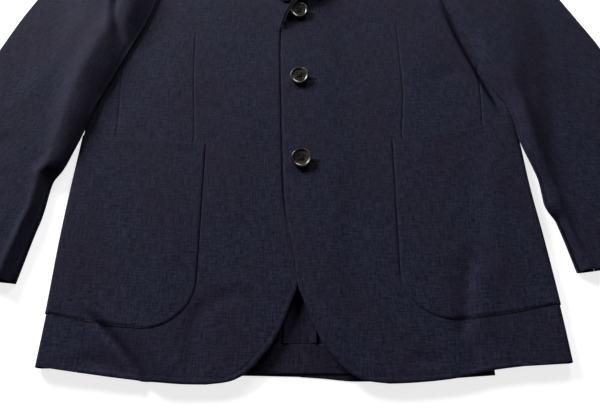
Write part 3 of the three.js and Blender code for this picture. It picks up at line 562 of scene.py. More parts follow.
for side, sign in SIDES.items():
    fine_y = np.linspace(FRONT_EDGE["y"][0], FRONT_EDGE["y"][-1], 3000)
    fine_x = along(FRONT_EDGE, "x", fine_y)
    edge_y = np.interp(even_along(fine_x, fine_y, GRID), np.arange(3000), fine_y)
    outer = along(FRONT_ROWS, "outer", edge_y, "edge")
    hem_y = along(HEM, side, FRONT_SEAM["x"][0], "x")
    outer_y = np.where(outer < FRONT_ARMPIT, mix(hem_y, FRONT_ARMPIT, outer / FRONT_ARMPIT), outer)
    outer_x = np.where(outer_y < FRONT_ARMPIT, along(FRONT_SEAM, "x", outer_y),
                       along(FRONT_ARMHOLE, "x", outer_y))
    edge_x = along(FRONT_EDGE, "x", edge_y)
    edge_x = edge_x + EDGE_SHIFT[side] * (1 - smooth(edge_y, *EDGE_SHIFT_TO))
    if side == "left":
        edge_x = edge_x - along(LAPEL_FOOT, "out", edge_y)
    dart_x = along(DART[side], "x", mix(edge_y, outer_y, 0.6))
    cut = POCKET[side]
    straight_foot = cut["foot"] + POCKET_CORNER
    pocket_at = np.clip((edge_y - straight_foot) / (cut["mouth"] - straight_foot), 0, 1)
    pocket_x = mix(cut["edge"], cut["top"], pocket_at)
    lap_x = np.maximum(EDGE_SHIFT["right"] - along(FRONT_EDGE, "x", edge_y), edge_x + 17)
    lap_x = np.minimum(lap_x, mix(edge_x, pocket_x, 0.6))
    x = columns((edge_x, 12), (mix(edge_x, lap_x, 0.6), 3), (lap_x - 3, 12), (lap_x + 4, 20),
                (pocket_x - 4, 9), (pocket_x + 2, 3), (dart_x - 4, 10), (dart_x + 4, 24),
                (outer_x - 6, 6), (outer_x, 0))
    share = (x - edge_x[:, None]) / (outer_x - edge_x)[:, None]
    straight = mix(edge_y[:, None], outer_y[:, None], share)
    hem_row = along(HEM, side, np.maximum(x[0], QUARTER_X), "x")
    y = straight + (hem_row - straight[0]) * (1 - smooth(outer_y, 0, HEM_ROWS_TO))[:, None]
    from_edge = np.hypot(x - x[:, :1], y - y[:, :1])
    run = np.stack([np.gradient(x[:, 0]), np.gradient(y[:, 0])], axis=1)
    row = np.stack([x[:, 2] - x[:, 0], y[:, 2] - y[:, 0]], axis=1)
    slant = np.abs(run[:, 0] * row[:, 1] - run[:, 1] * row[:, 0])
    slant /= np.linalg.norm(run, axis=1) * np.linalg.norm(row, axis=1)
    distance = np.minimum(from_edge * slant[:, None], y - y[0])
    length = np.cumsum(np.linalg.norm(run, axis=1))[:, None]
    z = upper_layer(side, x, y)
    z += turned_edge(distance, length) * (1 - smooth(y, *STITCHED_TO))
    if side == "left":
        z += along(LAPEL_FOOT, "rise", y) * np.exp(-((distance / LAPEL_FOOT_WIDTH) ** 2))
    else:
        beside_lap = x - EDGE_SHIFT["right"] + along(FRONT_EDGE, "x", y)
        under_lap = smooth(y, *LAP_LINE_FADE["from"]) * (1 - smooth(y, *LAP_LINE_FADE["to"]))
        z -= under_lap * pressed_line(beside_lap - 0.4, *LAP_LINE)
    beside = smooth(y - cut["foot"], *POCKET_LINE_FADE["foot"])
    beside *= 1 - smooth(y, cut["mouth"] - POCKET_LINE_FADE["mouth"], cut["mouth"])
    beside_x = mix(cut["edge"], cut["top"], (y - straight_foot) / (cut["mouth"] - straight_foot))
    z -= beside * pressed_line(x - beside_x - 0.3, *POCKET_LINE)
    seam = smooth(y, *SEAM_FADE) * (1 - smooth(y, FRONT_ARMPIT - 10, FRONT_ARMPIT + 10))
    z += seam * seam_dip(outer_x[:, None] - x)
    dart = smooth(y, *DART_FADE["from"])
    dart *= 1 - smooth(y, DART_END[side] - DART_FADE["over"], DART_END[side])
    from_dart = x - along(DART[side], "x", y)
    z += dart * (pressed_line(from_dart, *DART_SWELL) - pressed_line(from_dart, *DART_LINE))
    cloth_piece(f"front_{side}_cloth", f"front_{side}", np.stack([sign * x, y, z], axis=2),
                np.stack([sign * x, y], axis=2) + FRONT_CUT_AT)


# The patch pockets: large, with a round lower front corner. They are stitched 5 mm inside their
# edge, which puckers, and run round the side fold to the back seam.
POCKET_WRAP = 2.2  # angle by which a pocket goes round the side fold
POCKET_RADIUS = FOLD_RADIUS + WALL + TOUCH
POCKET_STITCHED = 0.16
MOUTH_GAPE = {"rise": 0.8, "down": 9, "x": 160, "across": 34}
POCKET_CUT_AT = (63, 44)

for side, sign in SIDES.items():
    cut = POCKET[side]
    turn = np.linspace(0, math.pi / 2, 200)
    corner_x = cut["foot_x"] - (cut["foot_x"] - cut["edge"]) * np.sin(turn)
    corner_y = cut["foot"] + POCKET_CORNER * (1 - np.cos(turn))
    edge_x = np.concatenate([corner_x, np.linspace(cut["edge"], cut["top"], 200)[1:]])
    edge_y = np.concatenate([corner_y, np.linspace(corner_y[-1], cut["mouth"], 200)[1:]])
    even = even_along(edge_x, edge_y, 2.0)
    edge_x, edge_y = (np.interp(even, np.arange(len(line)), line)[:, None]
                      for line in (edge_x, edge_y))
    rise = mix(*cut["rise"], (edge_y - cut["foot"]) / (cut["mouth"] - cut["foot"]))
    centre = along(SIDE_FOLD, side, edge_y + rise) - MID_HEIGHT
    x = columns((edge_x[:, 0], 12), (edge_x[:, 0] + 12, 46), (centre[:, 0], 0))
    s = (x - edge_x) / (centre - edge_x)
    y = edge_y + rise * s**1.5
    run = np.stack([np.gradient(edge_x[:, 0]), np.gradient(edge_y[:, 0])], axis=1)
    slant = np.abs(run[:, 1]) / np.linalg.norm(run, axis=1)
    distance = np.minimum((x - edge_x) * slant[:, None], y - y[0])
    length = np.cumsum(np.linalg.norm(run, axis=1))[:, None]
    along_edge = np.where(distance < y - y[0], length, x)
    to_mouth = y[-1] - y
    z = upper_layer(side, x, y) + WALL + TOUCH
    z += turned_edge(distance, along_edge, POCKET_STITCHED)
    gape = np.exp(-((to_mouth / MOUTH_GAPE["down"]) ** 2))
    z += gape * pressed_line(x - MOUTH_GAPE["x"], MOUTH_GAPE["rise"], MOUTH_GAPE["across"])
    angle = math.pi / 2 - POCKET_WRAP * np.linspace(0, 1, 15)[None, 1:]
    bend = [centre + POCKET_RADIUS * np.cos(angle), edge_y + rise + 0 * angle,
            MID_HEIGHT + POCKET_RADIUS * np.sin(angle) + 0 * centre,
            centre + POCKET_RADIUS * (math.pi / 2 - angle)]
    x, y, z, unrolled = (np.concatenate(pair, axis=1) for pair in zip([x, y, z, x], bend))
    cloth_piece(f"patch_pocket_{side}_cloth", f"patch_pocket_{side}",
                np.stack([sign * x, y, z], axis=2),
                np.stack([sign * unrolled, y], axis=2) + POCKET_CUT_AT)


# The lapels: each is the front itself, rolled over at the break beside the top button, and lies on
# the front as far up as its notch with the collar.
LAPEL = {
    "right": {
        "roll_x": [4.9, 12, 21, 38, 54, 63],
        "roll_y": [452, 472, 500, 570, 640, 672],
        "edge_x": [21, 44, 62, 89, 108, 114],
        "edge_y": [452, 476, 510, 575, 624, 641],
    },
    "left": {
        "roll_x": [-21.6, -18.2, -13.6, -10.2, -5.4, 0, 10, 20, 38, 54, 63],
        "roll_y": [408, 420, 429.5, 436.5, 445, 454, 474, 500, 570, 640, 672],
        "edge_x": [-18.2, -13.8, -9.2, -3.6, 3.2, 19, 43, 62, 89, 108, 114],
        "edge_y": [409, 421.5, 430, 439.5, 448, 454, 476, 510, 575, 624, 641],
    },
}

GRAIN_TURN = math.radians(19)  # the cloth's grain lies along the roll
LAPEL_FULL = 12  # where it is narrower than this, it stands lower
LAPEL_LIFT = {"roll": 2.1, "width": 16, "swell": 0.5, "swell_at": (20, 50)}
ROLL_OUT = (-0.9, 0.6)  # the bend over the roll, out from the roll's line and up
ROLL_UP = (1.2, 3.5)
grain_x, grain_y = math.cos(GRAIN_TURN), math.sin(GRAIN_TURN)


def centripetal(points, t):
    """Centripetal Catmull-Rom curve through points (count, ..., 3), at each t from 0 to 1.

    Each stretch takes an equal share of t. It is a Hermite cubic whose slopes come from its
    neighbours, with knots spaced by the square root of the distance between points."""
    points = np.concatenate([2 * points[:1] - points[1:2], points, 2 * points[-1:] - points[-2:-1]])
    knots = np.sqrt(np.maximum(np.linalg.norm(np.diff(points, axis=0), axis=-1), 1e-8))[..., None]
    at = t * (len(points) - 3)
    i = np.minimum(at.astype(int), len(points) - 4)
    w = (at - i).reshape((-1,) + (1,) * (points.ndim - 1))
    a, b, c, d = (points[i + k] for k in range(4))
    before, here, after = (knots[i + k] for k in range(3))
    start = here * ((b - a) / before - (c - a) / (before + here) + (c - b) / here)
    end = here * ((c - b) / here - (d - b) / (here + after) + (d - c) / after)
    return (b + start * w + (-3 * b + 3 * c - 2 * start - end) * w**2
            + (2 * b - 2 * c + start + end) * w**3)


for side, sign in SIDES.items():
    columns_of = {name: np.array(values, float) for name, values in LAPEL[side].items()}
    flat_zero = np.zeros(len(columns_of["roll_x"]))
    t = steps(250)
    roll = centripetal(np.stack([columns_of["roll_x"], columns_of["roll_y"], flat_zero], 1), t)
    edge = centripetal(np.stack([columns_of["edge_x"], columns_of["edge_y"], flat_zero], 1), t)
    width = np.linalg.norm(edge - roll, axis=1)[:, None]
    across = (edge - roll) / width
    turn = np.minimum(1, width / LAPEL_FULL)
    share = np.linspace(0, 1, 26)[None, 1:]
    out = np.maximum(share * width, 0.6 + share * 2)
    lift = LAPEL_LIFT["roll"] * np.exp(-(out / LAPEL_LIFT["width"]))
    swell = smooth(width, *LAPEL_LIFT["swell_at"])
    lift = lift + LAPEL_LIFT["swell"] * np.sin(share * math.pi) * swell
    bend = np.linspace(0, 1, 7)[None, :-1]
    bend_out = mix(*ROLL_OUT, bend) - np.sin(bend * math.pi)
    bend_lift = mix(*ROLL_UP, bend)
    out = np.concatenate([bend_out + 0 * width, out], axis=1)
    lift = np.concatenate([bend_lift + 0 * width, lift + 0 * out[:, 6:]], axis=1) * turn
    x = roll[:, :1] + across[:, :1] * out
    y = roll[:, 1:2] + across[:, 1:2] * out
    z = upper_layer(side, np.maximum(x, roll[:, :1]), y) + WALL + SEAM + lift
    if side == "left":
        z += along(LAPEL_FOOT, "rise", y)
    length = np.cumsum(np.linalg.norm(np.gradient(edge, axis=0), axis=1))[:, None]
    z += turned_edge(width - out, length) * turn * (out > 4)
    cloth_piece(f"lapel_{side}_cloth", f"lapel_{side}", np.stack([sign * x, y, z], axis=2),
                np.stack([sign * (x * grain_x - y * grain_y), x * grain_y + y * grain_x], axis=2))


# The sleeves: a top sleeve that is the upper layer and bends round the inner edge, and an under
# sleeve below it. They lie over the sides of the body, empty, and their cuffs are open.
SLEEVE_OUTER = {
    "y": [102, 240, 372, 424, 460, 535, 605, 655, SHOULDER[1] + 1],
    "right": [393, 376, 350.6, 337.5, 326, 300, 268, 240, SHOULDER[0] + 2],
    "left": [389, 374, 352, 335, 322.5, 299, 268, 240, SHOULDER[0] + 2],
}
SLEEVE_INNER = {
    "y": [88, 143, 150, 157, 165, 190, 197, 204, 226, 243,
          265, 290, 320, 365, 417, 451, 500, 535, 556],
    "right": [261, 254, 252.4, 251.4, 250.7, 249.6, 247.5, 240.5, 232, 227.7,
              223.5, 219.2, 210.8, 197.8, 182.5, 176.5, 171, 169.5, 173],
    "left": [257.8, 247.6, 245.5, 240, 236.8, 237.6, 236.8, 235.2, 229.8, 227,
             226.2, 221.6, 208.6, 197.8, 183.6, 176, 171, 169.5, 173],
}
CUFF = {"right": (103, 88), "left": (117, 98)}  # heights of its outer and inner corner
END_UNDER = [(SHOULDER[0] + 0.6, SHOULDER[1] + 1), (199, 655), (189.4, 612), (191.5, 577),
             (182, 561), (173, 556)]
ARMHOLE_Y = np.array([SHOULDER[1] + 0.6, 681, 672, 656, 640, 621, 602])
END_UPPER = [*zip(along(FRONT_ARMHOLE, "x", ARMHOLE_Y) + SEAM, ARMHOLE_Y),
             (179.6, 590), (179.8, 578), (177.4, 567), (173, 556)]
FOREARM_TURN = 14.0
# A sleeve comes down off the body over this width
DROP = {"y": [225, 330, 450, 520], "width": [32, 54, 50, 20]}
POCKET_LIFT = 2.0
POCKET_LIFT_TO = (275, 310)
BESIDE = (562, 590)  # above this it lies beside the body and not on it
SLEEVE_CREASES = {
    "right": [
        (228, 470, 206, 372, -9.0, 5.5, 1.3, -3),
        (196, 480, 200, 400, 4.0, 8, 1.0, 0),
        (262, 420, 300, 300, 1.6, 16, 1.0, 4),
        (300, 250, 352, 205, -1.2, 12, 1.0, 0),
        (232, 600, 262, 510, 1.8, 15, 1.0, 3),
        (262, 190, 300, 130, 0.9, 14, 1.0, 2),
        (330, 400, 318, 300, -1.0, 14, 1.0, 3),
        (246, 236, 276, 214, -1.0, 8, 1.2, 0),
    ],
    "left": [
        (206, 400, 196, 350, -2.6, 8, 1.3, 2),
        (250, 330, 252, 236, -1.7, 9, 1.3, 4),
        (232, 332, 236, 240, 1.3, 8, 1.0, 2),
        (270, 440, 288, 320, 1.5, 15, 1.0, 3),
        (292, 240, 346, 180, -1.2, 12, 1.0, 0),
        (230, 606, 258, 520, 1.6, 15, 1.0, 3),
        (260, 180, 296, 128, 0.8, 12, 1.0, 2),
        (316, 420, 330, 310, -0.9, 14, 1.0, -3),
    ],
}
# How far the top sleeve slopes down towards its inner edge, and how low it ends there
INNER_ROLL = {
    "y": [88, 143, 170, 185, 204, 226, 250, 304, 363, 445, 556],
    "right": [9, 8, 8.5, 9, 14, 18, 21, 27, 30, 36, 30],
    "left": [7, 6, 14, 13, 11, 12, 13, 15, 15, 14, 20],
}
INNER_DROP = {"right": 6.2, "left": 5.6}
INNER_RIDGE = {"right": 8.0, "left": 2.0}  # swell where that slope begins
RIDGE_FADE = (0.75, 0.95)
RIDGE_WIDTH = 0.7  # in widths of the slope
SLOPE_CURVE = 1.2
HEAD = (0.88, 1)  # where the inner fold flattens into the armhole
HEAD_SHARE = 0.4
ARMHOLE_BEND = (0.45, 1)  # where the rows bend into the armhole's curve
CLEAR = 10  # how far the body reaches past its armhole, as a sleeve sees it
TOP_SLEEVE_CUT_AT = (200, 70)
UNDER_SLEEVE_CUT_AT = (320, 18)


def cover_edge(side, y):
    """How far out the body reaches under a sleeve."""
    armhole = along(FRONT_ARMHOLE, "x", y - CLEAR) + CLEAR
    fold = along(SIDE_FOLD, side, np.minimum(y, ARMPIT))
    return np.where(y <= ARMPIT, fold, np.minimum(fold, armhole))


def sleeve_lift(side, x, y):
    """Height by which a sleeve is lifted where it lies on the body and the pocket."""
    edge = cover_edge(side, y)
    fall = along(DROP, "width", y)
    height = BODY_HEIGHT + 3 * SEAM + POCKET_LIFT * (1 - smooth(y, *POCKET_LIFT_TO))
    return height * (1 - smooth(x, edge, edge + fall)) * (1 - smooth(y, *BESIDE))


def sleeve_plan(side, end, u, w):
    """Place in plan at u from the cuff to the armhole and w from the outer to the inner edge.

    A row is a straight line between the two edges, and bends into the armhole's curve above."""
    def row(t):
        outer_y = mix(CUFF[side][0], SLEEVE_OUTER["y"][-1], t)
        inner_y = mix(CUFF[side][1], SLEEVE_INNER["y"][-1], t)
        outer = np.stack([along(SLEEVE_OUTER, side, outer_y), outer_y], axis=-1)
        inner = np.stack([along(SLEEVE_INNER, side, inner_y), inner_y], axis=-1)
        return mix(outer, inner, w[..., None])

    curve = centripetal(np.array([(x, y, 0) for x, y in end], float), w.ravel())
    pull = (smooth(u, *ARMHOLE_BEND) * u)[..., None]
    return row(u) + (curve[:, :2].reshape(*w.shape, 2) - row(np.ones_like(u))) * pull


def sleeve_layer(side, upper, u, inset, height, width):
    """Points of a sleeve's upper or under layer, from their inset and height over the layer."""
    w = np.clip(inset / width, 0, 1)
    plan = sleeve_plan(side, END_UPPER if upper else END_UNDER, u + 0 * w, w)
    x, y = plan[..., 0], plan[..., 1]
    z = GROUND + sleeve_lift(side, x, y) + height
    if upper:
        z = z + np.sin(math.pi * w) ** 0.5 * creases(SLEEVE_CREASES[side], x, y)
    return np.stack([x, y, z], axis=-1)


def up_the_sleeve(points):
    """Length of the cloth from the cuff up to each point, along its own column."""
    step = np.linalg.norm(np.diff(points, axis=0, prepend=points[:1]), axis=2)
    return np.cumsum(step, axis=0) + points[:1, :, 1]


for side, sign in SIDES.items():
    u = np.concatenate([np.linspace(0, 0.68, 130)[:-1], np.linspace(0.68, 1, 75)])[:, None]
    ends = [sleeve_plan(side, END_UPPER, u, np.full_like(u, w))[:, 0] for w in (0, 1)]
    width = np.linalg.norm(ends[0] - ends[1], axis=1)[:, None]
    radius = FOLD_RADIUS
    inner_y = mix(CUFF[side][1], SLEEVE_INNER["y"][-1], u)
    low = mix(radius - INNER_DROP[side] / 2, HEAD_SHARE * radius, smooth(u, *HEAD))
    turn = np.linspace(0, math.pi / 2, 9)[None]
    outer_bend = sleeve_layer(side, True, u, radius * (1 - np.cos(turn)),
                              radius * (1 + np.sin(turn)), width)
    inset = mix(radius, width - low, np.linspace(0, 1, 52)[None, 1:-1])
    roll = along(INNER_ROLL, side, inner_y)
    past = (inset - (width - low - roll)) / roll
    ridge = 2 * radius + INNER_RIDGE[side] * (1 - smooth(u, *RIDGE_FADE))
    slope = (1 - np.clip(past, 0, 1) ** SLOPE_CURVE) ** (1 / SLOPE_CURVE)
    fall = mix(2 * low, ridge, slope)
    rise = mix(2 * radius, ridge, np.exp(-((past / RIDGE_WIDTH) ** 2)))
    top = sleeve_layer(side, True, u, inset, np.where(past > 0, fall, rise), width)
    turn = np.linspace(math.pi / 2, -math.pi / 2, 15)[None]
    inset, height = width - low * (1 - np.cos(turn)), low * (1 + np.sin(turn))
    inner_bend = np.where((turn >= 0)[..., None],
                          sleeve_layer(side, True, u, inset, height, width),
                          sleeve_layer(side, False, u, inset, height, width))
    inner_radius = radius * mix(1, HEAD_SHARE, smooth(u, *HEAD))
    under_end = width - inner_radius - FOREARM_TURN
    under = mix(width - low, under_end, np.linspace(0, 1, 6)[None, 1:])
    turned = sleeve_layer(side, False, u, under, 0, width)
    points = np.concatenate([outer_bend, top, inner_bend, turned], axis=1)
    step = np.linalg.norm(np.diff(points, axis=1, prepend=points[:, :1]), axis=2)
    flat = np.stack([sign * (np.cumsum(step, axis=1) - width), up_the_sleeve(points)], axis=2)
    cloth_piece(f"top_sleeve_{side}_cloth", f"top_sleeve_{side}", points * (sign, 1, 1),
                flat + TOP_SLEEVE_CUT_AT)

    start = under_end - SEAM
    inset = mix(start, radius, np.linspace(0, 1, 32)[None, :-1])
    under = sleeve_layer(side, False, u, inset, 0, width)
    turn = np.linspace(-math.pi / 2, -1.3 * SEAM / radius, 8)[None]
    bend = sleeve_layer(side, False, u, radius * (1 - np.cos(turn)), radius * (1 + np.sin(turn)),
                        width)
    points = np.concatenate([under, bend], axis=1)
    step = np.linalg.norm(np.diff(points, axis=1, prepend=points[:, :1]), axis=2)
    flat = np.stack([sign * np.cumsum(step, axis=1), up_the_sleeve(points)], axis=2)
    cloth_piece(f"under_sleeve_{side}_cloth", f"under_sleeve_{side}", points * (sign, 1, 1),
                flat + UNDER_SLEEVE_CUT_AT)


# The collar: one band of linen, sewn to the neckline on its stand and turned down over it. Its
# front ends meet the lapels at the notches.
COLLAR = {
    "seam": [(62, 681, 11.2), (68, 702, 10.4), (78.5, 723, 10.2), (84, 734, 5), (66, 725.4, 1.6),
             (38, 718, 1.4), (0, 715.5, 1.4)],
    "roll": [(57, 684, 16.5), (61, 703, 19), (70, 725, 22), (75, 743, 22), (60, 749, 18),
             (37, 746, 16), (0, 744, 15.5)],
    "bend": [(79, 677, 13.4), (87, 702, 15), (96, 729, 16), (97, 749, 11), (74, 756, 4),
             (42, 755.5, 3), (0, 755, 2.6)],
    "edge": [(99, 667, 11.2), (110, 697, 10.9), (118, 716, 10.9), (108, 742, 1.2), (75, 744, 1.1),
             (41, 738, 1.1), (0, 736, 1.1)],
}
COLLAR_LENGTH = 360
COLLAR_DEPTH = 52
COLLAR_CUT_AT = (0, 210)

half = np.array(list(COLLAR.values()), float)
whole = np.concatenate([half, half[:, -2::-1] * (-1, 1, 1)], axis=1)
rails = centripetal(np.moveaxis(whole, 1, 0), steps(COLLAR_LENGTH, 2.5))
points = centripetal(np.moveaxis(rails, 1, 0), steps(COLLAR_DEPTH, 1.6))
points = np.moveaxis(points, 0, 1)
across = np.linalg.norm(np.diff(points, axis=1, prepend=points[:, :1]), axis=2).cumsum(axis=1)
run = np.linalg.norm(np.diff(points, axis=0, prepend=points[:1]), axis=2).cumsum(axis=0)
flat = np.stack([run - run[-1] / 2, across], axis=2)
cloth_piece("collar_cloth", "collar", points, flat + COLLAR_CUT_AT)


# The three buttons: dark polished horn with a raised rim, a dished middle and four holes, sewn on
# with a cross of thread. They stand on the left front, over the end of their buttonholes.
BUTTONS = {"top": (-0.7, 430.3), "middle": (-0.6, 327.1), "bottom": (1.5, 217.7)}
BUTTON_RADIUS = 10.5
BUTTON_FACE = {  # height of its upper face from the middle outwards
    "r": [0, 5.2, 7.2, 8.0, 8.8, 9.5, 10.1, 10.5],
    "z": [2.62, 2.7, 2.8, 3.2, 3.55, 3.6, 3.2, 2.1],
}
BUTTON_FLAT = 8.1
BUTTON_BACK = {"r": [0, BUTTON_FLAT, 9.2, 10.0, 10.5], "z": [0, 0, 0.45, 0.95, 2.1]}
BUTTON_HOLE = 1.0
BUTTON_HOLE_OUT = 2.3
BUTTON_HOLE_DEPTH = 2.1
BUTTON_LEAN = math.radians(12)  # it leans on its thread and faces the hem
LEANING = np.array([[1, 0, 0], [0, math.cos(BUTTON_LEAN), -math.sin(BUTTON_LEAN)],
                    [0, math.sin(BUTTON_LEAN), math.cos(BUTTON_LEAN)]])
BUTTON_SEAT = BODY_HEIGHT + LAP["rise"] + SEAM + BUTTON_FLAT * math.sin(BUTTON_LEAN)


def horn(name):
    """Dark polished horn: noise stretched along X makes its brown streaks."""
    material = bpy.data.materials.new(name)
    material.use_nodes = True
    nodes, links = material.node_tree.nodes, material.node_tree.links
    shader = nodes["Principled BSDF"]
    shader.inputs["Roughness"].default_value = 0.3
    shader.inputs["Specular IOR Level"].default_value = 0.3
    place = nodes.new("ShaderNodeTexCoord")
    stretch = nodes.new("ShaderNodeMapping")
    stretch.inputs["Scale"].default_value = (60, 260, 200)
    grain = nodes.new("ShaderNodeTexNoise")
    grain.inputs["Scale"].default_value = 1.0
    grain.inputs["Detail"].default_value = 3.0
    ramp = nodes.new("ShaderNodeValToRGB")
    ramp.color_ramp.elements[0].position = 0.42
    ramp.color_ramp.elements[0].color = (0.0065, 0.0058, 0.0058, 1)
    ramp.color_ramp.elements[1].position = 0.68
    ramp.color_ramp.elements[1].color = (0.047, 0.038, 0.031, 1)
    links.new(place.outputs["Object"], stretch.inputs["Vector"])
    links.new(stretch.outputs["Vector"], grain.inputs["Vector"])
    links.new(grain.outputs["Fac"], ramp.inputs["Fac"])
    links.new(ramp.outputs["Color"], shader.inputs["Base Color"])
    return material


def cap(ring):
    """Quads that close a ring with an even number of vertices, in a strip from side to side."""
    i = np.arange(len(ring) // 2 - 1)
    return np.stack([ring[i], ring[i + 1], ring[-2 - i], ring[-1 - i]], axis=1)


HORN = horn("dark_horn")

for name, (button_x, button_y) in BUTTONS.items():
    r = np.concatenate([np.linspace(0.04, 5.2, 40), np.linspace(5.4, BUTTON_RADIUS, 28)])
    angle = np.linspace(0, 2 * math.pi, 97)[None, :-1]
    x, y = r[:, None] * np.cos(angle), r[:, None] * np.sin(angle)
    to_hole = np.hypot(np.abs(x) - BUTTON_HOLE_OUT, np.abs(y) - BUTTON_HOLE_OUT)
    face = along(BUTTON_FACE, "z", r, "r")[:, None] + 0 * angle
    hole = 1 - smooth(to_hole, BUTTON_HOLE - 0.12, BUTTON_HOLE + 0.1)
    face = face - BUTTON_HOLE_DEPTH * hole
    back = along(BUTTON_BACK, "z", r[::-1][1:], "r")[:, None] + 0 * angle
    under = np.stack([x[::-1][1:], y[::-1][1:], back], 2)
    rings = np.concatenate([np.stack([x, y, face], 2), under])
    count = len(rings)
    index = np.arange(rings[..., 0].size).reshape(count, -1)
    turned = np.roll(index, -1, axis=1)
    faces = np.stack([index[:-1], index[1:], turned[1:], turned[:-1]], axis=-1).reshape(-1, 4)
    faces = np.concatenate([faces, cap(index[0]), cap(index[-1][::-1])])
    vertices = rings.reshape(-1, 3) @ LEANING.T + (button_x, button_y, BUTTON_SEAT)
    mesh = mesh_of(f"button_{name}_horn", vertices * MM + ORIGIN, faces)
    button = bpy.data.objects.new(f"button_{name}_horn", mesh)
    bpy.context.scene.collection.objects.link(button)
    mesh.materials.append(HORN)
    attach(button, "root")
    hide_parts(f"button_{name}")


# The buttonholes: a slit in the left front, bound with dark thread that is purled along its edges
# and barred at its end. A dark strand of the same thread lies in the slit between the edges and
# is painted shade for its opening. Only the end beside each button shows.
HOLE_FROM = 5.0
HOLE_TO = 17.6
BOUND = 1.1  # middle of the bound edge, from the middle of the slit
BOUND_RADIUS = 0.42
PURL = 0.8
PURL_DEPTH = 0.13
BAR_RADIUS = 0.55
SLIT_SHADE_RADIUS = 0.5
THREAD_UP = {"bound": 0.16, "bar": 0.3, "slit": -0.1}  # its middle, above the front's outer face


def cotton(name, colour):
    """Plain thread."""
    material = bpy.data.materials.new(name)
    material.use_nodes = True
    shader = material.node_tree.nodes["Principled BSDF"]
    shader.inputs["Base Color"].default_value = (*colour, 1)
    shader.inputs["Roughness"].default_value = 0.7
    shader.inputs["Specular IOR Level"].default_value = 0.1
    return material


def tube(line, radius, sides=8):
    """Round tube along points (count, 3), which tapers to a closed tip at both ends.

    Each ring has its points at the line + radius * (cos angle beside it + sin angle above it)."""
    ahead = np.gradient(line, axis=0)
    ahead /= np.linalg.norm(ahead, axis=1, keepdims=True)
    beside = np.cross(ahead, (0, 0, 1))
    beside /= np.maximum(np.linalg.norm(beside, axis=1, keepdims=True), 1e-9)
    above = np.cross(beside, ahead)
    angle = np.linspace(0, 2 * math.pi, sides + 1)[:-1][None, :, None]
    radius = np.broadcast_to(radius, len(line)).copy()
    radius[[0, -1]] *= 0.05
    ring = beside[:, None] * np.cos(angle) + above[:, None] * np.sin(angle)
    points = line[:, None] + ring * radius[:, None, None]
    index = np.arange(points[..., 0].size).reshape(points.shape[:2])
    turned = np.roll(index, -1, axis=1)
    faces = np.stack([index[:-1], index[1:], turned[1:], turned[:-1]], axis=-1).reshape(-1, 4)
    faces = np.concatenate([faces, cap(index[0]), cap(index[-1][::-1])])
    return points.reshape(-1, 3), faces


def joined(parts):
    """Vertices and faces of several meshes in one."""
    starts = np.cumsum([0] + [len(vertices) for vertices, _ in parts[:-1]])
    return (np.concatenate([vertices for vertices, _ in parts]),
            np.concatenate([faces + start for (_, faces), start in zip(parts, starts)]))


def thread_piece(name, parts, material):
    """Sewing in one mesh that moves with the garment."""
    vertices, faces = joined(parts)
    piece = bpy.data.objects.new(name, mesh_of(name, vertices * MM + ORIGIN, faces))
    bpy.context.scene.collection.objects.link(piece)
    piece.data.materials.append(material)
    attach(piece, "root")


DARK_THREAD = cotton("dark_thread", (0.0045, 0.0045, 0.0085))


def lap_top(x, y):
    """Height of the left front's outer face."""
    return upper_layer("left", np.maximum(x, -20.0), y) + WALL / 2


for name, (button_x, button_y) in BUTTONS.items():
    parts = []
    run = np.linspace(HOLE_FROM, HOLE_TO, 90)
    purl = PURL_DEPTH * np.sin(2 * math.pi * run / PURL)
    for beside in (-BOUND, BOUND):
        x, y = button_x + run, button_y + beside + 0 * run
        z = lap_top(x, y) + THREAD_UP["bound"]
        parts.append(tube(np.stack([x, y, z], 1), BOUND_RADIUS + purl, 8))
    run = np.linspace(-BOUND - 0.5, BOUND + 0.5, 24)
    x, y = button_x + HOLE_TO + 0 * run, button_y + run
    parts.append(tube(np.stack([x, y, lap_top(x, y) + THREAD_UP["bar"]], 1), BAR_RADIUS, 8))
    # The slit: a dark strand between the bound edges, painted shade for the opening.
    x = button_x + np.linspace(HOLE_FROM, HOLE_TO, 20)
    y = button_y + 0 * x
    parts.append(tube(np.stack([x, y, lap_top(x, y) + THREAD_UP["slit"]], 1), SLIT_SHADE_RADIUS, 6))
    thread_piece(f"buttonhole_{name}", parts, DARK_THREAD)


# The sewing of the buttons: dark thread that goes through the four holes of each from corner to
# corner, two strands each way.
STRAND = 0.28
STRANDS_APART = 0.3
STRAND_OVER = 0.35  # above the button's face
STRAND_INTO = 0.8  # down into its holes

for name, (button_x, button_y) in BUTTONS.items():
    parts = []
    t = np.linspace(-1, 1, 25)
    for cross in (-1, 1):
        for offset in (-STRANDS_APART, STRANDS_APART):
            x, y = BUTTON_HOLE_OUT * t + offset * cross, BUTTON_HOLE_OUT * t * cross - offset
            z = BUTTON_FACE["z"][0] + STRAND_OVER * (1 - t**8) - STRAND_INTO * t**8
            points = np.stack([x, y, z], 1) @ LEANING.T + (button_x, button_y, BUTTON_SEAT)
            parts.append(tube(points, STRAND, 6))
    thread_piece(f"button_{name}_thread", parts, DARK_THREAD)


# The white surface that the garment lies on. It is bright enough to read as plain white, also
# beside the garment.
FLOOR_SIZE = 6.0

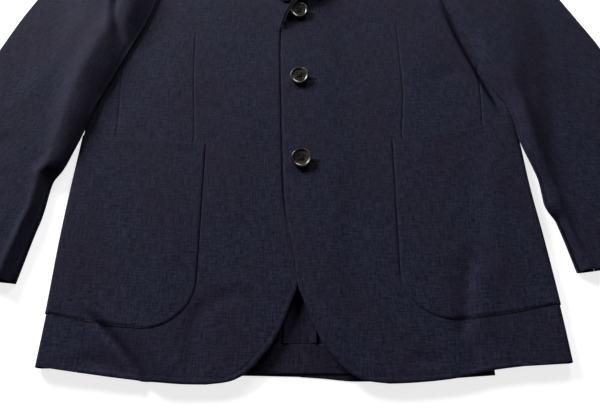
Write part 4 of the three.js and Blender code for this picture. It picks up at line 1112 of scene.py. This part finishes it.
floor_mesh = bpy.data.meshes.new("floor")
edge = FLOOR_SIZE / 2
floor_mesh.from_pydata([(-edge, -edge, 0), (edge, -edge, 0), (edge, edge, 0), (-edge, edge, 0)],
                       [], [(0, 1, 2, 3)])
floor = bpy.data.objects.new("floor", floor_mesh)
bpy.context.scene.collection.objects.link(floor)
floor_paint = bpy.data.materials.new("white_paper")
floor_paint.use_nodes = True
paper = floor_paint.node_tree.nodes["Principled BSDF"]
paper.inputs["Base Color"].default_value = (0.36, 0.36, 0.36, 1)
paper.inputs["Roughness"].default_value = 0.8
paper.inputs["Emission Color"].default_value = (1, 1, 1, 1)
paper.inputs["Emission Strength"].default_value = 0.78
floor_mesh.materials.append(floor_paint)


# The light: two soft ones beyond the collar, of which the left one is stronger, and a little
# from all round.
LIGHTS = {
    "light_left": {"place": (-1.8, 1.9, 1.15), "size": 1.0, "power": 236},
    "light_right": {"place": (0.9, 2.6, 1.3), "size": 1.0, "power": 72},
}
LIGHT_ALL_ROUND = 0.09

for name, light in LIGHTS.items():
    lamp = bpy.data.objects.new(name, bpy.data.lights.new(name, "AREA"))
    bpy.context.scene.collection.objects.link(lamp)
    lamp.data.size = light["size"]
    lamp.data.energy = light["power"]
    lamp.location = light["place"]
    lamp.rotation_euler = mathutils.Vector(light["place"]).to_track_quat("Z", "Y").to_euler()
world = bpy.data.worlds.new("light_all_round")
bpy.context.scene.world = world
world.use_nodes = True
world.node_tree.nodes["Background"].inputs["Color"].default_value = (1, 1, 1, 1)
world.node_tree.nodes["Background"].inputs["Strength"].default_value = LIGHT_ALL_ROUND
bpy.context.scene.view_settings.view_transform = "Standard"


# The camera, at the photograph's steep angle from the hem, a little over half a metre away.
CAMERA_TARGET = (0, 165.4, 0)
CAMERA_DISTANCE = 511.247
CAMERA_HEIGHT = math.radians(62)
CAMERA_LENS = 31

camera = bpy.data.objects.new("camera", bpy.data.cameras.new("camera"))
bpy.context.scene.collection.objects.link(camera)
camera.data.lens = CAMERA_LENS
back_off = np.array([0, -math.cos(CAMERA_HEIGHT), math.sin(CAMERA_HEIGHT)]) * CAMERA_DISTANCE
camera.location = ORIGIN + (np.array(CAMERA_TARGET) + back_off) * MM
camera.rotation_euler = (math.pi / 2 - CAMERA_HEIGHT, 0, 0)
bpy.context.scene.camera = camera
